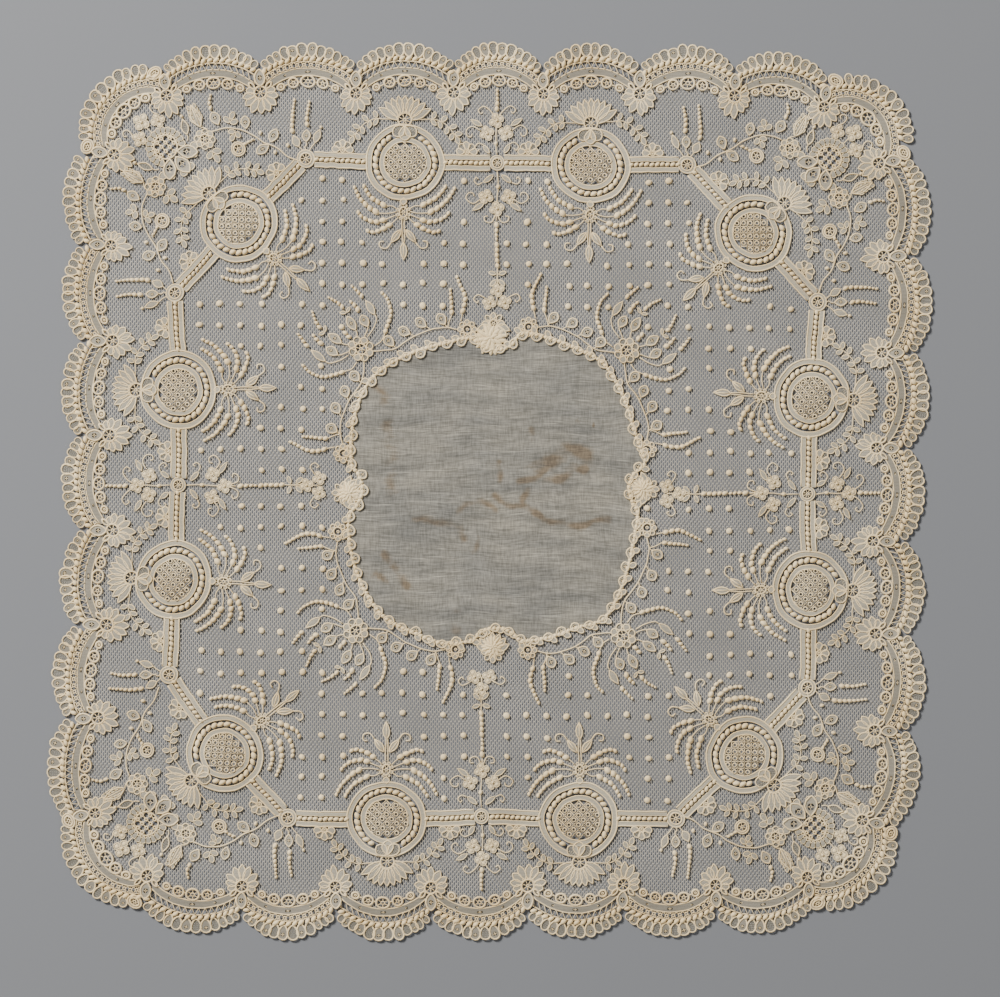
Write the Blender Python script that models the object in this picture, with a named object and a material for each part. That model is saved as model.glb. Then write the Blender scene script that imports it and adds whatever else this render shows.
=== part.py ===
"""A lace handkerchief laid flat: linen middle, net, medallions and a scalloped edge.

The origin is on the underside, in the middle of the whole. Up is +Z, and the edge that is at the
top of the photograph faces +Y. Sizes are in millimetres until a mesh is made.
"""

import math
from collections import namedtuple

import bmesh
import bpy
from mathutils import Vector
from mathutils.geometry import delaunay_2d_cdt

METRES_PER_MM = 0.001
JOIN_GAP = 0.3

# Heights above the table.
LINEN_TOP = 1.0
NET_TOP = 1.0
BAND_TOP = 1.2
ROPE_TOP = 1.7
MOTIF_TOP = 1.6
# How far the raised motifs reach down into the sheets they join, and how far their outlines stay
# from the sheets' edges.
ROOT_DEPTH = 0.04
MOTIF_CLEAR = 0.5

# How far the linen's edge lies from its middle, every ten degrees from +X round to +Y and on.
LINEN_MIDDLE = (2.0, 0.8)
LINEN_REACH = (
    ("right to top", (53.2, 60.2, 59.8, 61.6, 63.7, 65.8, 64.9, 64.2, 63.0)),
    ("top to left", (55.4, 61.3, 62.1, 63.8, 65.5, 66.3, 64.1, 61.3, 58.8)),
    ("left to bottom", (53.4, 59.2, 62.3, 64.8, 66.5, 67.7, 66.4, 65.6, 61.6)),
    ("bottom to right", (55.4, 61.8, 63.3, 64.2, 67.4, 64.4, 60.9, 58.7, 57.8)),
)
BAY_SHOULDER = (6.0, 2.0)

# Flowers of the rim, clockwise from the top.
RimFlower = namedtuple("RimFlower", "kind x y")
RIM_FLOWERS = (
    RimFlower("middle", 1.2, 66.8),
    RimFlower("small", 15.2, 65.5),
    RimFlower("corner", 54.2, 56.0),
    RimFlower("small", 62.2, 16.7),
    RimFlower("middle", 62.9, 0.7),
    RimFlower("small", 62.4, -14.9),
    RimFlower("corner", 52.9, -57.8),
    RimFlower("small", 14.6, -63.8),
    RimFlower("middle", 0.6, -64.2),
    RimFlower("small", -14.4, -63.2),
    RimFlower("corner", -54.0, -55.7),
    RimFlower("small", -61.0, -16.3),
    RimFlower("middle", -59.1, -0.5),
    RimFlower("small", -59.1, 15.1),
    RimFlower("corner", -52.0, 56.7),
    RimFlower("small", -9.3, 64.7),
)
RIM_FLOWER_RADIUS = {"middle": 4.4, "small": 3.8, "corner": 5.1}
RIM_FLOWER_POINTS = {"middle": 3, "small": 3, "corner": 5}
RIM_POINT_TURN = 40
RIM_MARGIN = 0.7
RIM_PETALS = 5
RIM_NOTCH = 0.8
VINE_SHARES = (0.33, 0.67)
VINE_DIP = -2.5
VINE_RISE = 2.2

# The eight-sided band, clockwise from its top left corner. A knot is an eyelet at a corner.
BandPlace = namedtuple("BandPlace", "kind x y")
BAND = (
    BandPlace("knot", -73.8, 132.6),
    BandPlace("medallion", -34.5, 131.3),
    BandPlace("eyelet", 2.4, 131.3),
    BandPlace("medallion", 39.8, 130.2),
    BandPlace("knot", 78.2, 130.4),
    BandPlace("medallion", 105.1, 103.1),
    BandPlace("knot", 130.5, 75.7),
    BandPlace("medallion", 128.0, 37.2),
    BandPlace("eyelet", 126.4, -1.0),
    BandPlace("medallion", 127.6, -39.6),
    BandPlace("knot", 126.3, -78.5),
    BandPlace("medallion", 101.3, -105.6),
    BandPlace("knot", 73.8, -130.8),
    BandPlace("medallion", 35.2, -131.4),
    BandPlace("eyelet", -3.7, -130.2),
    BandPlace("medallion", -41.6, -131.3),
    BandPlace("knot", -81.0, -130.8),
    BandPlace("medallion", -106.6, -104.8),
    BandPlace("knot", -128.6, -73.7),
    BandPlace("medallion", -126.8, -35.5),
    BandPlace("eyelet", -124.9, 2.2),
    BandPlace("medallion", -124.9, 40.4),
    BandPlace("knot", -126.2, 79.0),
    BandPlace("medallion", -100.7, 107.0),
)
BAND_HALF_WIDTH = 3.0
EYELET_BULGE = 0.5
KNOT_RADIUS = 4.3
KNOT_SHARES = (0.3, 0.5, 0.7)
MEDALLION_RADIUS = 15.5
MEDALLION_FLAT = 2.0
MEDALLION_ARC_STEPS = 5
MEDALLION_ROPE = 11.9
MEDALLION_FILLING = 9.0
MEDALLION_SIDES = 10

# Fan flower outside each medallion and spray flower inside it, measured from the medallion.
FAN_OUT = 16.9
FAN_TIPS = 7
FAN_REACH = 10.0
FAN_NOTCH = 6.2
FAN_SPREAD = 165
FAN_HEEL = 1.8
SPRAY_IN = 19.8
SPRAY_FLOWER = 3.2
SPRAY_FLOWER_SIDES = 5

# Long motifs, each with its root and its tip as distances ahead of a flower and to its side, and
# its width. Those under the first width are strands of beads, and the others leaves and buds. All
# but those marked single are there on both sides.
STRAND_WIDEST = 2.4
Strand = namedtuple("Strand", "root_ahead root_aside tip_ahead tip_aside width")
SPRAY_STRANDS = (
    Strand(0.4, 9.2, -10.2, 20.3, 2.0),
    Strand(-1.6, 6.0, -10.4, 16.4, 2.0),
    Strand(2.7, 5.8, 0.2, 19.0, 2.0),
    Strand(5.4, 3.4, 7.5, 14.9, 2.0),
    Strand(6.9, 1.4, 12.2, 5.0, 2.8),
)
SPRAY_SINGLE = (Strand(11.9, 0.0, 18.8, 0.0, 3.2),)
FERN = (Strand(-0.4, 8.6, -8.0, 21.0, 3.6),)
KNOT_STRANDS = (
    Strand(4.7, -2.6, 9.3, -5.2, 3.6),
    Strand(9.6, -5.2, 23.6, -5.0, 2.2),
    Strand(6.4, 0.8, 12.0, 0.2, 4.0),
    Strand(12.4, 0.4, 23.2, 1.0, 2.2),
    Strand(4.6, 3.4, 12.2, 6.0, 3.2),
)
RIM_STRANDS = (
    Strand(-2.3, 13.1, 10.6, 21.4, 2.0),
    Strand(6.1, 13.8, 13.5, 14.9, 4.2),
    Strand(13.9, 15.0, 21.9, 14.2, 2.0),
    Strand(6.0, 8.0, 10.2, 9.4, 3.4),
    Strand(10.6, 9.4, 17.6, 9.9, 2.2),
    Strand(7.6, 3.6, 13.0, 5.0, 4.4),
    Strand(14.6, 5.8, 24.0, 4.0, 2.2),
)
RIM_SINGLE = (Strand(5.9, 0.0, 9.9, 0.0, 2.2),)
SMALL_STRANDS = (
    Strand(5.8, 6.0, 16.3, 6.7, 2.0),
    Strand(6.4, 2.2, 21.0, 4.8, 2.0),
)
ROSE_STRANDS = (
    Strand(-1.1, 15.6, 6.6, 18.0, 4.2),
    Strand(0.4, 10.4, 6.6, 13.1, 3.2),
    Strand(-11.6, 10.6, -15.6, 13.4, 3.6),
    Strand(1.3, 22.9, 5.6, 27.8, 2.0),
    Strand(-5.0, 22.6, -0.2, 23.2, 4.2),
    Strand(-5.0, 26.0, -6.6, 29.0, 3.4),
    Strand(-10.6, 27.6, -11.6, 31.4, 4.0),
    Strand(-15.4, 22.8, -18.6, 20.0, 4.2),
    Strand(-22.4, 31.8, -23.8, 35.6, 3.8),
    Strand(-25.8, 27.0, -27.6, 23.6, 4.0),
)
STEM_OUT = (
    Strand(4.6, 1.8, 8.6, 4.2, 2.6),
    Strand(22.4, -0.6, 28.4, -0.6, 2.0),
)
STEM_IN = (
    Strand(4.6, 1.8, 8.6, 4.2, 2.6),
    Strand(24.5, -0.4, 42.5, -0.6, 2.2),
    Strand(46.0, 0.8, 43.6, 3.6, 1.8),
)

# Small flowers on the nets: their place as above, how far they reach and how many petals.
Floret = namedtuple("Floret", "ahead aside reach petals")
STEM_OUT_FLORETS = (
    Floret(12.2, -3.4, 2.5, 4),
    Floret(12.2, 3.4, 2.5, 4),
    Floret(16.7, -0.2, 2.5, 4),
)
STEM_IN_FLORETS = (
    Floret(12.9, -3.8, 2.5, 4),
    Floret(12.9, 3.8, 2.5, 4),
    Floret(17.4, -0.4, 2.5, 4),
    Floret(50.2, -0.4, 2.6, 4),
    Floret(56.6, -2.9, 2.5, 4),
    Floret(56.6, 2.7, 2.5, 4),
)
ROSE_FLORETS = (
    Floret(0.0, 0.0, 10.2, 9),
    Floret(-5.7, 13.7, 4.4, 5),
    Floret(-5.7, -13.7, 4.4, 5),
    Floret(16.6, 0.8, 3.4, 4),
    Floret(12.2, 5.6, 3.4, 4),
    Floret(12.5, -4.6, 3.4, 4),
)
FLORET_NOTCH = 0.74
ROSES = ((-128.1, 135.3), (133.4, 131.2), (127.6, -132.7), (-135.8, -131.1))

# Half flowers that lean on the band's outer edge, both sides of each medallion.
SHELL_ALONG = 24.8
SHELL_OUT = 4.4
SHELL_REACH = 4.6
SHELL_TIPS = 3
SHELL_SPREAD = 180
SHELL_NOTCH = 3.5

# Buds on the rim's vine, as a share of its way from a corner flower to a small one and as a
# distance out from the straight between them.
VINE_BUDS = ((0.28, 3.7), (0.43, 5.4), (0.60, 7.6), (0.79, 7.6))
VINE_BUD_LENGTH = 3.2
VINE_BUD_WIDTH = 3.6

# Dots of the inner net, in rows and columns each side of its middle.
DOT_MIDDLE = (-2.3, 0.5)
DOT_START = (8.6, 7.2)
DOT_STEP = (8.1, 8.3)
DOT_TILT = -0.006
DOT_RANKS = 15
DOT_REACH = 1.7
DOT_SIDES = 3
DOT_CLEAR = 2.8

# The scalloped edge, one row a side: the way it faces, how far the notch between two scallops lies
# outside a rosette, how far a scallop rises over its notches, the same for the corner scallop at
# the side's far end, and the rosettes' eyes, clockwise.
Side = namedtuple("Side", "facing notch_out rise corner_rise eyes")
SIDES = (
    Side(90, 11.7, 8.7, 15.0, (
        (-129.6, 157.6), (-92.3, 159.0), (-54.2, 158.8), (-14.9, 159.2),
        (20.8, 158.6), (59.4, 158.6), (97.4, 157.5), (132.9, 153.2),
    )),
    Side(0, 12.9, 7.5, 13.4, (
        (154.9, 130.7), (156.8, 93.5), (156.3, 55.3), (154.2, 17.3),
        (152.7, -20.2), (153.8, -57.3), (153.4, -95.7), (148.6, -131.8),
    )),
    Side(-90, 12.7, 8.6, 13.4, (
        (126.3, -154.1), (90.0, -157.3), (53.0, -157.4), (14.8, -157.9),
        (-23.8, -158.8), (-62.1, -158.2), (-99.5, -157.8), (-137.2, -153.6),
    )),
    Side(180, 13.0, 7.4, 14.0, (
        (-158.1, -128.6), (-156.9, -90.4), (-153.4, -53.6), (-151.1, -15.7),
        (-152.5, 22.4), (-151.1, 60.1), (-151.8, 98.0), (-150.6, 134.5),
    )),
)
CORNER_TURN = 10
PETALS = 12
CORNER_PETALS = 15
PETAL_NOTCH = 1.0
PETAL_CROWD = 0.2
ROSETTE_TIPS = 3
ROSETTE_REACH = 7.6
ROSETTE_NOTCH = 6.2
ROSETTE_SPREAD = 130

# Lines that follow a scallop: how far each lies below the notch, beside it, and below the apex.
Line = namedtuple("Line", "sink beside depth")
ROPE = Line(4.8, 2.4, 6.3)
ROPE_STEPS = 4
CHAIN_INNER = Line(12.2, 6.2, 17.2)
CHAIN_STEPS = 3

Ridge = namedtuple("Ridge", "points closed height")
Material = namedtuple("Material", "colour roughness")
LINEN_CLOTH = Material((0.50, 0.46, 0.40), 0.9)
NET_THREAD = Material((0.36, 0.34, 0.31), 0.9)
LACE_CLOTH = Material((0.68, 0.61, 0.49), 0.85)
PADDED_THREAD = Material((0.74, 0.67, 0.54), 0.8)


def pointing(degrees):
    """The unit vector at an angle."""
    return Vector((math.cos(math.radians(degrees)), math.sin(math.radians(degrees))))


def angle_of(vector):
    return math.degrees(math.atan2(vector.y, vector.x))


def arc(start, end, rise, count):
    """Points along the arc that bulges to the left of its chord, with the way each faces."""
    chord = end - start
    ahead = chord.normalized()
    left = Vector((-ahead.y, ahead.x))
    half = chord.length / 2
    radius = (half * half + rise * rise) / (2 * rise)
    centre = start + chord / 2 + left * (rise - radius)
    swing = math.atan2(half, radius - rise)
    found = []
    for step in range(count + 1):
        turn = swing * (2 * step / count - 1)
        facing = ahead * math.sin(turn) + left * math.cos(turn)
        found.append((centre + facing * radius, facing))
    return found


def grown(loop, distance):
    """The loop with every edge moved outwards by the distance, or inwards if it is negative."""
    count = len(loop)
    area = sum(loop[i - 1].cross(loop[i]) for i in range(count))
    side = distance if area > 0 else -distance
    moved = []
    for i in range(count):
        before = (loop[i] - loop[i - 1]).normalized()
        after = (loop[(i + 1) % count] - loop[i]).normalized()
        outward = Vector((before.y + after.y, -before.x - after.x))
        moved.append(loop[i] + outward * (side / (1 + before.dot(after))))
    return moved


def linen_loop():
    """The linen's edge. Each quarter starts in a bay, which is wider than one point."""
    middle = Vector(LINEN_MIDDLE)
    turn, rise = BAY_SHOULDER
    loop = []
    for quarter, (_, reaches) in enumerate(LINEN_REACH):
        step = 90 / len(reaches)
        loop.append(middle + pointing(90 * quarter - turn) * (reaches[0] + rise))
        loop.append(middle + pointing(90 * quarter) * reaches[0])
        loop.append(middle + pointing(90 * quarter + turn) * (reaches[0] + rise))
        for i, reach in enumerate(reaches[1:], 1):
            loop.append(middle + pointing(90 * quarter + step * i) * reach)
    return loop


def rim_loop():
    """Round the outer side of the rim's flowers and the vine between them, clockwise."""
    loop = []
    for i, flower in enumerate(RIM_FLOWERS):
        here = Vector((flower.x, flower.y))
        points = RIM_FLOWER_POINTS[flower.kind]
        reach = RIM_FLOWER_RADIUS[flower.kind]
        first = angle_of(here) + RIM_POINT_TURN * (points - 1) / 2
        loop += [here + pointing(first - RIM_POINT_TURN * j) * reach for j in range(points)]
        following = RIM_FLOWERS[(i + 1) % len(RIM_FLOWERS)]
        if "corner" not in (flower.kind, following.kind):
            continue
        chord = Vector((following.x, following.y)) - here
        outward = Vector((-chord.y, chord.x)).normalized()
        bends = (VINE_DIP, VINE_RISE) if flower.kind == "corner" else (VINE_RISE, VINE_DIP)
        for share, bend in zip(VINE_SHARES, bends):
            loop.append(here + chord * share + outward * bend)
    return loop


def band_neighbours():
    """Each place of the band with the angles from it to the one before and the one after."""
    for i, place in enumerate(BAND):
        here = Vector((place.x, place.y))
        before = Vector(BAND[i - 1][1:])
        after = Vector(BAND[(i + 1) % len(BAND)][1:])
        yield place.kind, here, angle_of(before - here), angle_of(after - here)


def band_loop(outer):
    """The outer or inner edge of the band, clockwise."""
    loop = []
    for kind, here, back, on in band_neighbours():
        sweep = (back - on) % 360 if outer else (on - back) % 360
        turn = -1 if outer else 1
        if kind == "medallion":
            gap = math.degrees(math.asin(BAND_HALF_WIDTH / MEDALLION_RADIUS))
            for step in range(MEDALLION_ARC_STEPS + 1):
                share = step / MEDALLION_ARC_STEPS
                angle = back + turn * (gap + (sweep - 2 * gap) * share)
                flat = MEDALLION_FLAT * math.sin(math.pi * share) if outer else 0
                loop.append(here + pointing(angle) * (MEDALLION_RADIUS - flat))
        elif kind == "knot":
            shares = KNOT_SHARES if outer else (0.5,)
            loop += [here + pointing(back + turn * sweep * share) * KNOT_RADIUS for share in shares]
        else:
            reach = BAND_HALF_WIDTH + EYELET_BULGE
            loop.append(here + pointing(back + turn * sweep / 2) * reach)
    return loop


Station = namedtuple("Station", "eye outward notch rise petals")


def edge_stations():
    """One station a rosette, clockwise, each with the scallop that follows it."""
    stations = []
    for side in SIDES:
        last = len(side.eyes) - 1
        for place, eye in enumerate(side.eyes):
            turn = {0: CORNER_TURN, last: -CORNER_TURN}.get(place, 0)
            outward = pointing(side.facing + turn)
            rise = side.corner_rise if place == last else side.rise
            petals = CORNER_PETALS if place == last else PETALS
            notch = Vector(eye) + outward * side.notch_out
            stations.append(Station(Vector(eye), outward, notch, rise, petals))
    return stations


def scallop_line(here, following, line, count):
    """Points along one of the lines that follow a scallop, with the way each faces."""
    def beside(station, way):
        ahead = Vector((station.outward.y, -station.outward.x))
        return station.notch - station.outward * line.sink + ahead * way * line.beside

    start = beside(here, 1)
    end = beside(following, -1)
    chord = following.notch - here.notch
    outward = Vector((-chord.y, chord.x)).normalized()
    drop = (here.notch + following.notch - start - end).dot(outward) / 2
    return arc(start, end, here.rise - line.depth + drop, count)


def petal_edge(here, following):
    """The petals of one scallop, a notch and a tip for each."""
    loop = []
    smooth = 200
    path = scallop_line(here, following, Line(0, 0, 0), smooth)

    def at(share, depth):
        crowded = share - PETAL_CROWD * math.sin(2 * math.pi * share) / (2 * math.pi)
        point, facing = path[round(crowded * smooth)]
        return point - facing * depth

    for petal in range(here.petals):
        notch = 0 if petal == 0 else PETAL_NOTCH
        loop.append(at(petal / here.petals, notch))
        loop.append(at((petal + 0.5) / here.petals, 0))
    return loop


def edge_loops():
    """The petals outside and the rosettes and ring chain inside, both clockwise."""
    outer = []
    inner = []
    stations = edge_stations()
    for i, here in enumerate(stations):
        following = stations[(i + 1) % len(stations)]
        outer += petal_edge(here, following)
        inward = angle_of(-here.outward)
        inner += fan(
            here.eye, inward, ROSETTE_TIPS, ROSETTE_REACH, ROSETTE_NOTCH, ROSETTE_SPREAD
        )
        inner += [point for point, _ in scallop_line(here, following, CHAIN_INNER, CHAIN_STEPS)]
    return outer, inner


def ring(here, radius, sides):
    return [here + pointing(360 * i / sides) * radius for i in range(sides)]


def edge_ridges():
    """The bead rope of every scallop, as a line that the face rises to."""
    stations = edge_stations()
    ridges = []
    for i, here in enumerate(stations):
        following = stations[(i + 1) % len(stations)]
        line = [point for point, _ in scallop_line(here, following, ROPE, ROPE_STEPS)]
        ridges.append(Ridge(line, False, ROPE_TOP))
    return ridges


def band_ridges():
    """The medallions' bead rings and the bead rows between the band's places."""
    ridges = []
    places = list(band_neighbours())
    clear = {"medallion": MEDALLION_RADIUS, "knot": KNOT_RADIUS, "eyelet": KNOT_RADIUS}
    for i, (kind, here, _, on) in enumerate(places):
        if kind == "medallion":
            rope = ring(here, MEDALLION_ROPE, MEDALLION_SIDES)
            ridges.append(Ridge(rope, True, ROPE_TOP))
            filling = ring(here, MEDALLION_FILLING, MEDALLION_SIDES)
            ridges.append(Ridge(filling, True, BAND_TOP))
        following = places[(i + 1) % len(places)]
        start = here + pointing(on) * clear[kind]
        end = following[1] - pointing(on) * clear[following[0]]
        ridges.append(Ridge([start, end], False, ROPE_TOP))
    return ridges


def frame_at(here, degrees, mirror=1):
    """Turns distances ahead of a place and to its right, or to its left if mirrored, into places."""
    ahead = pointing(degrees)
    aside = Vector((ahead.y, -ahead.x)) * mirror
    return lambda along, across: here + ahead * along + aside * across


def star(here, reach, points, notch, first=0.0):
    """The outline of a flower with pointed petals all round."""
    loop = []
    for i in range(2 * points):
        radius = reach if i % 2 == 0 else reach * notch
        loop.append(here + pointing(first + 180 * i / points) * radius)
    return loop


def sliver(root, tip, width):
    """The outline of a leaf or bud, widest half way, or of a bead strand, widest at its root."""
    ahead = (tip - root).normalized()
    across = Vector((-ahead.y, ahead.x)) * width / 2
    if width < STRAND_WIDEST:
        return [root - across, tip, root + across]
    middle = (root + tip) / 2
    return [root, middle - across, tip, middle + across]


def slivers(strands, here, degrees, mirrors=(1, -1)):
    found = []
    for mirror in mirrors:
        place = frame_at(here, degrees, mirror)
        for strand in strands:
            root = place(strand.root_ahead, strand.root_aside)
            tip = place(strand.tip_ahead, strand.tip_aside)
            outline = sliver(root, tip, strand.width)
            found.append((outline, sum(outline, Vector((0, 0))) / len(outline)))
    return found


def florets(rows, here, degrees):
    place = frame_at(here, degrees)
    found = []
    for floret in rows:
        middle = place(floret.ahead, floret.aside)
        if floret.petals == 4:
            outline = ring(middle, floret.reach, 4)
        else:
            outline = star(middle, floret.reach, floret.petals, FLORET_NOTCH, degrees)
        found.append((outline, middle))
    return found


def fan(here, degrees, tips, reach, notch, spread):
    """Pointed petals side by side, spread round the way that the flower faces."""
    loop = []
    rays = 2 * tips - 1
    for ray in range(rays):
        radius = reach if ray % 2 == 0 else notch
        loop.append(here + pointing(degrees + spread * (ray / (rays - 1) - 0.5)) * radius)
    return loop


def new_mesh_object(name, mesh, collection):
    thing = bpy.data.objects.new(name, mesh)
    collection.objects.link(thing)
    return thing


def flat_shape(name, loops, low, high, collection):
    """The loops filled and given a thickness. A loop inside another is its opening."""
    curve = bpy.data.curves.new(name, "CURVE")
    curve.dimensions = "2D"
    curve.fill_mode = "BOTH"
    curve.extrude = (high - low) / 2 * METRES_PER_MM
    for loop in loops:
        spline = curve.splines.new("POLY")
        spline.points.add(len(loop) - 1)
        for point, place in zip(spline.points, loop):
            point.co = (place.x * METRES_PER_MM, place.y * METRES_PER_MM, 0, 1)
        spline.use_cyclic_u = True
    holder = bpy.data.objects.new(name + "_curve", curve)
    collection.objects.link(holder)
    graph = bpy.context.evaluated_depsgraph_get()
    mesh = bpy.data.meshes.new_from_object(holder.evaluated_get(graph))
    bpy.data.objects.remove(holder)
    bpy.data.curves.remove(curve)

    shape = bmesh.new()
    shape.from_mesh(mesh)
    bmesh.ops.remove_doubles(shape, verts=shape.verts, dist=1e-6)
    bmesh.ops.translate(shape, verts=shape.verts, vec=(0, 0, (high + low) / 2 * METRES_PER_MM))
    flat = [face for face in shape.faces if abs(face.normal.z) > 0.5]
    inner = {edge for face in flat for edge in face.edges if all(f in flat for f in edge.link_faces)}
    bmesh.ops.dissolve_limit(
        shape, angle_limit=math.radians(1), verts=[], edges=list(inner), delimit=set()
    )
    bmesh.ops.recalc_face_normals(shape, faces=shape.faces)
    shape.to_mesh(mesh)
    shape.free()
    return new_mesh_object(name, mesh, collection)


def triangles_within(points, lines, loops):
    """Triangles between the points that keep the lines, inside the first loop and no other."""
    flat, _, faces, sources, _, _ = delaunay_2d_cdt(points, lines, [], 0, 1e-6)
    found = []
    for face in faces:
        middle = sum((flat[i] for i in face), Vector((0, 0))) / 3
        if inside(middle, loops[0]) and not any(inside(middle, hole) for hole in loops[1:]):
            found.append([sources[i][0] for i in face])
    return found


def ridged_shape(name, loops, ridges, top, collection):
    """A sheet with ridge lines raised in its top face.

    No modelling tool raises lines inside a filled outline, so its faces are made here.
    """
    points = [point for loop in loops for point in loop]
    border = []
    for loop in loops:
        first = len(border)
        border += [(first + i, first + (i + 1) % len(loop)) for i in range(len(loop))]
    under = triangles_within(points, border, loops)
    count = len(points)
    heights = [top] * count
    lines = list(border)
    for ridge in ridges:
        first = len(points)
        points += ridge.points
        heights += [ridge.height] * len(ridge.points)
        lines += [(first + i, first + i + 1) for i in range(len(ridge.points) - 1)]
        if ridge.closed:
            lines.append((len(points) - 1, first))
    over = triangles_within(points, lines, loops)

    shape = bmesh.new()
    upper = [
        shape.verts.new(Vector((point.x, point.y, height)) * METRES_PER_MM)
        for point, height in zip(points, heights)
    ]
    lower = [
        shape.verts.new(Vector((point.x, point.y, 0)) * METRES_PER_MM) for point in points[:count]
    ]
    for corners in over:
        shape.faces.new([upper[i] for i in corners])
    for corners in under:
        shape.faces.new([lower[i] for i in corners])
    for a, b in border:
        shape.faces.new([upper[a], upper[b], lower[b], lower[a]])
    bmesh.ops.recalc_face_normals(shape, faces=shape.faces)
    mesh = bpy.data.meshes.new(name)
    shape.to_mesh(mesh)
    shape.free()
    return new_mesh_object(name, mesh, collection)


def low_cone(name, loop, apex, ground, top, collection):
    """A motif that swells from its outline on the ground to a point over its apex."""
    shape = bmesh.new()
    bmesh.ops.create_cone(
        shape, cap_ends=True, segments=len(loop), radius1=1, radius2=0, depth=1
    )
    tip = max(shape.verts, key=lambda vert: vert.co.z)
    foot = sorted(
        (vert for vert in shape.verts if vert is not tip),
        key=lambda vert: math.atan2(vert.co.y, vert.co.x) % (2 * math.pi),
    )
    area = sum(loop[i - 1].cross(loop[i]) for i in range(len(loop)))
    around = loop if area > 0 else loop[::-1]
    for vert, place in zip(foot, around):
        vert.co = Vector((place.x, place.y, ground - ROOT_DEPTH)) * METRES_PER_MM
    tip.co = Vector((apex.x, apex.y, top)) * METRES_PER_MM
    bmesh.ops.recalc_face_normals(shape, faces=shape.faces)
    mesh = bpy.data.meshes.new(name)
    shape.to_mesh(mesh)
    shape.free()
    return new_mesh_object(name, mesh, collection)


def join_to(body, helpers, names):
    """Makes one solid of a body and the shapes of a helper collection."""
    union = body.modifiers.new(names, "BOOLEAN")
    union.operation = "UNION"
    union.solver = "EXACT"
    union.operand_type = "COLLECTION"
    union.collection = helpers


def finish(thing, material):
    surface = bpy.data.materials.new(thing.name)
    surface.use_nodes = True
    shader = surface.node_tree.nodes["Principled BSDF"]
    shader.inputs["Base Color"].default_value = (*material.colour, 1)
    shader.inputs["Roughness"].default_value = material.roughness
    shader.inputs["Metallic"].default_value = 0
    thing.data.materials.clear()
    thing.data.materials.append(surface)


def helper_collection(parent, name):
    made = bpy.data.collections.new(name)
    made.hide_render = True
    parent.children.link(made)
    return made


def inner_net_motifs():
    """Outlines and middles of the sprays inside the medallions, the stems and the rim's bouquets."""
    found = []
    for kind, here, back, on in band_neighbours():
        inward = back + ((on - back) % 360) / 2
        if kind == "medallion":
            flower = here + pointing(inward) * SPRAY_IN
            found.append((ring(flower, SPRAY_FLOWER, SPRAY_FLOWER_SIDES), flower))
            found += slivers(SPRAY_STRANDS, flower, inward)
            found += slivers(SPRAY_SINGLE, flower, inward, (1,))
        if kind == "eyelet":
            goal = min(RIM_FLOWERS, key=lambda flower: (Vector(flower[1:]) - here).length)
            inward = angle_of(Vector(goal[1:]) - here)
            found += slivers(STEM_IN[:1], here, inward)
            found += slivers(STEM_IN[1:2], here, inward, (1,))
            found += slivers(STEM_IN[2:], here, inward)
            found += florets(STEM_IN_FLORETS, here, inward)
    count = len(RIM_FLOWERS)
    for i, flower in enumerate(RIM_FLOWERS):
        here = Vector(flower[1:])
        if flower.kind == "small":
            mirror = 1 if RIM_FLOWERS[(i + 1) % count].kind == "corner" else -1
            straight = 90 * round(angle_of(here) / 90)
            found += slivers(SMALL_STRANDS, here, straight, (mirror,))
        if flower.kind != "corner":
            continue
        outward = angle_of(here)
        found += slivers(RIM_STRANDS, here, outward)
        found += slivers(RIM_SINGLE, here, outward, (1,))
        for neighbour, mirror in ((RIM_FLOWERS[(i + 1) % count], 1), (RIM_FLOWERS[i - 1], -1)):
            chord = Vector(neighbour[1:]) - here
            place = frame_at(here, angle_of(chord), -mirror)
            for share, out in VINE_BUDS:
                bud = place(chord.length * share, out)
                root = place(chord.length * share, out - VINE_BUD_LENGTH)
                found.append((sliver(root, bud, VINE_BUD_WIDTH), (root + bud) / 2))
    return found


def outer_net_motifs():
    """Outlines and middles of the fan flowers, ferns, roses, half flowers and outer stems."""
    found = []
    for kind, here, back, on in band_neighbours():
        outward = back - ((back - on) % 360) / 2
        if kind == "medallion":
            eye = here + pointing(outward) * FAN_OUT
            heel = eye - pointing(outward) * FAN_HEEL
            petals = fan(eye, outward, FAN_TIPS, FAN_REACH, FAN_NOTCH, FAN_SPREAD)
            found.append((petals + [heel], eye))
            found += slivers(FERN, eye, outward)
            for along, mirror in ((on, -1), (back, 1)):
                shell = frame_at(here, along, mirror)(SHELL_ALONG, SHELL_OUT)
                facing = along - 90 * mirror
                petals = fan(shell, facing, SHELL_TIPS, SHELL_REACH, SHELL_NOTCH, SHELL_SPREAD)
                found.append((petals, shell + pointing(facing)))
        if kind == "eyelet":
            goal = min(RIM_FLOWERS, key=lambda flower: (Vector(flower[1:]) - here).length)
            outward = angle_of(here - Vector(goal[1:]))
            found += slivers(STEM_OUT[:1], here, outward)
            found += slivers(STEM_OUT[1:], here, outward, (1,))
            found += florets(STEM_OUT_FLORETS, here, outward)
        if kind == "knot":
            facing = 90 * round(outward / 90)
            side_follows = abs(math.sin(math.radians(on - facing))) > 0.95
            mirror = 1 if side_follows else -1
            found += slivers(KNOT_STRANDS, here, facing, (mirror,))
    for x, y in ROSES:
        here = Vector((x, y))
        outward = angle_of(here)
        found += slivers(ROSE_STRANDS, here, outward)
        found += florets(ROSE_FLORETS, here, outward)
    return found


def far_from(place, outlines, clear):
    """Whether a place is at least this far from every edge of the outlines."""
    for outline in outlines:
        for i, corner in enumerate(outline):
            side = outline[i - 1] - corner
            share = max(0, min(1, (place - corner).dot(side) / side.length_squared))
            if (corner + side * share - place).length < clear:
                return False
    return True


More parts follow.
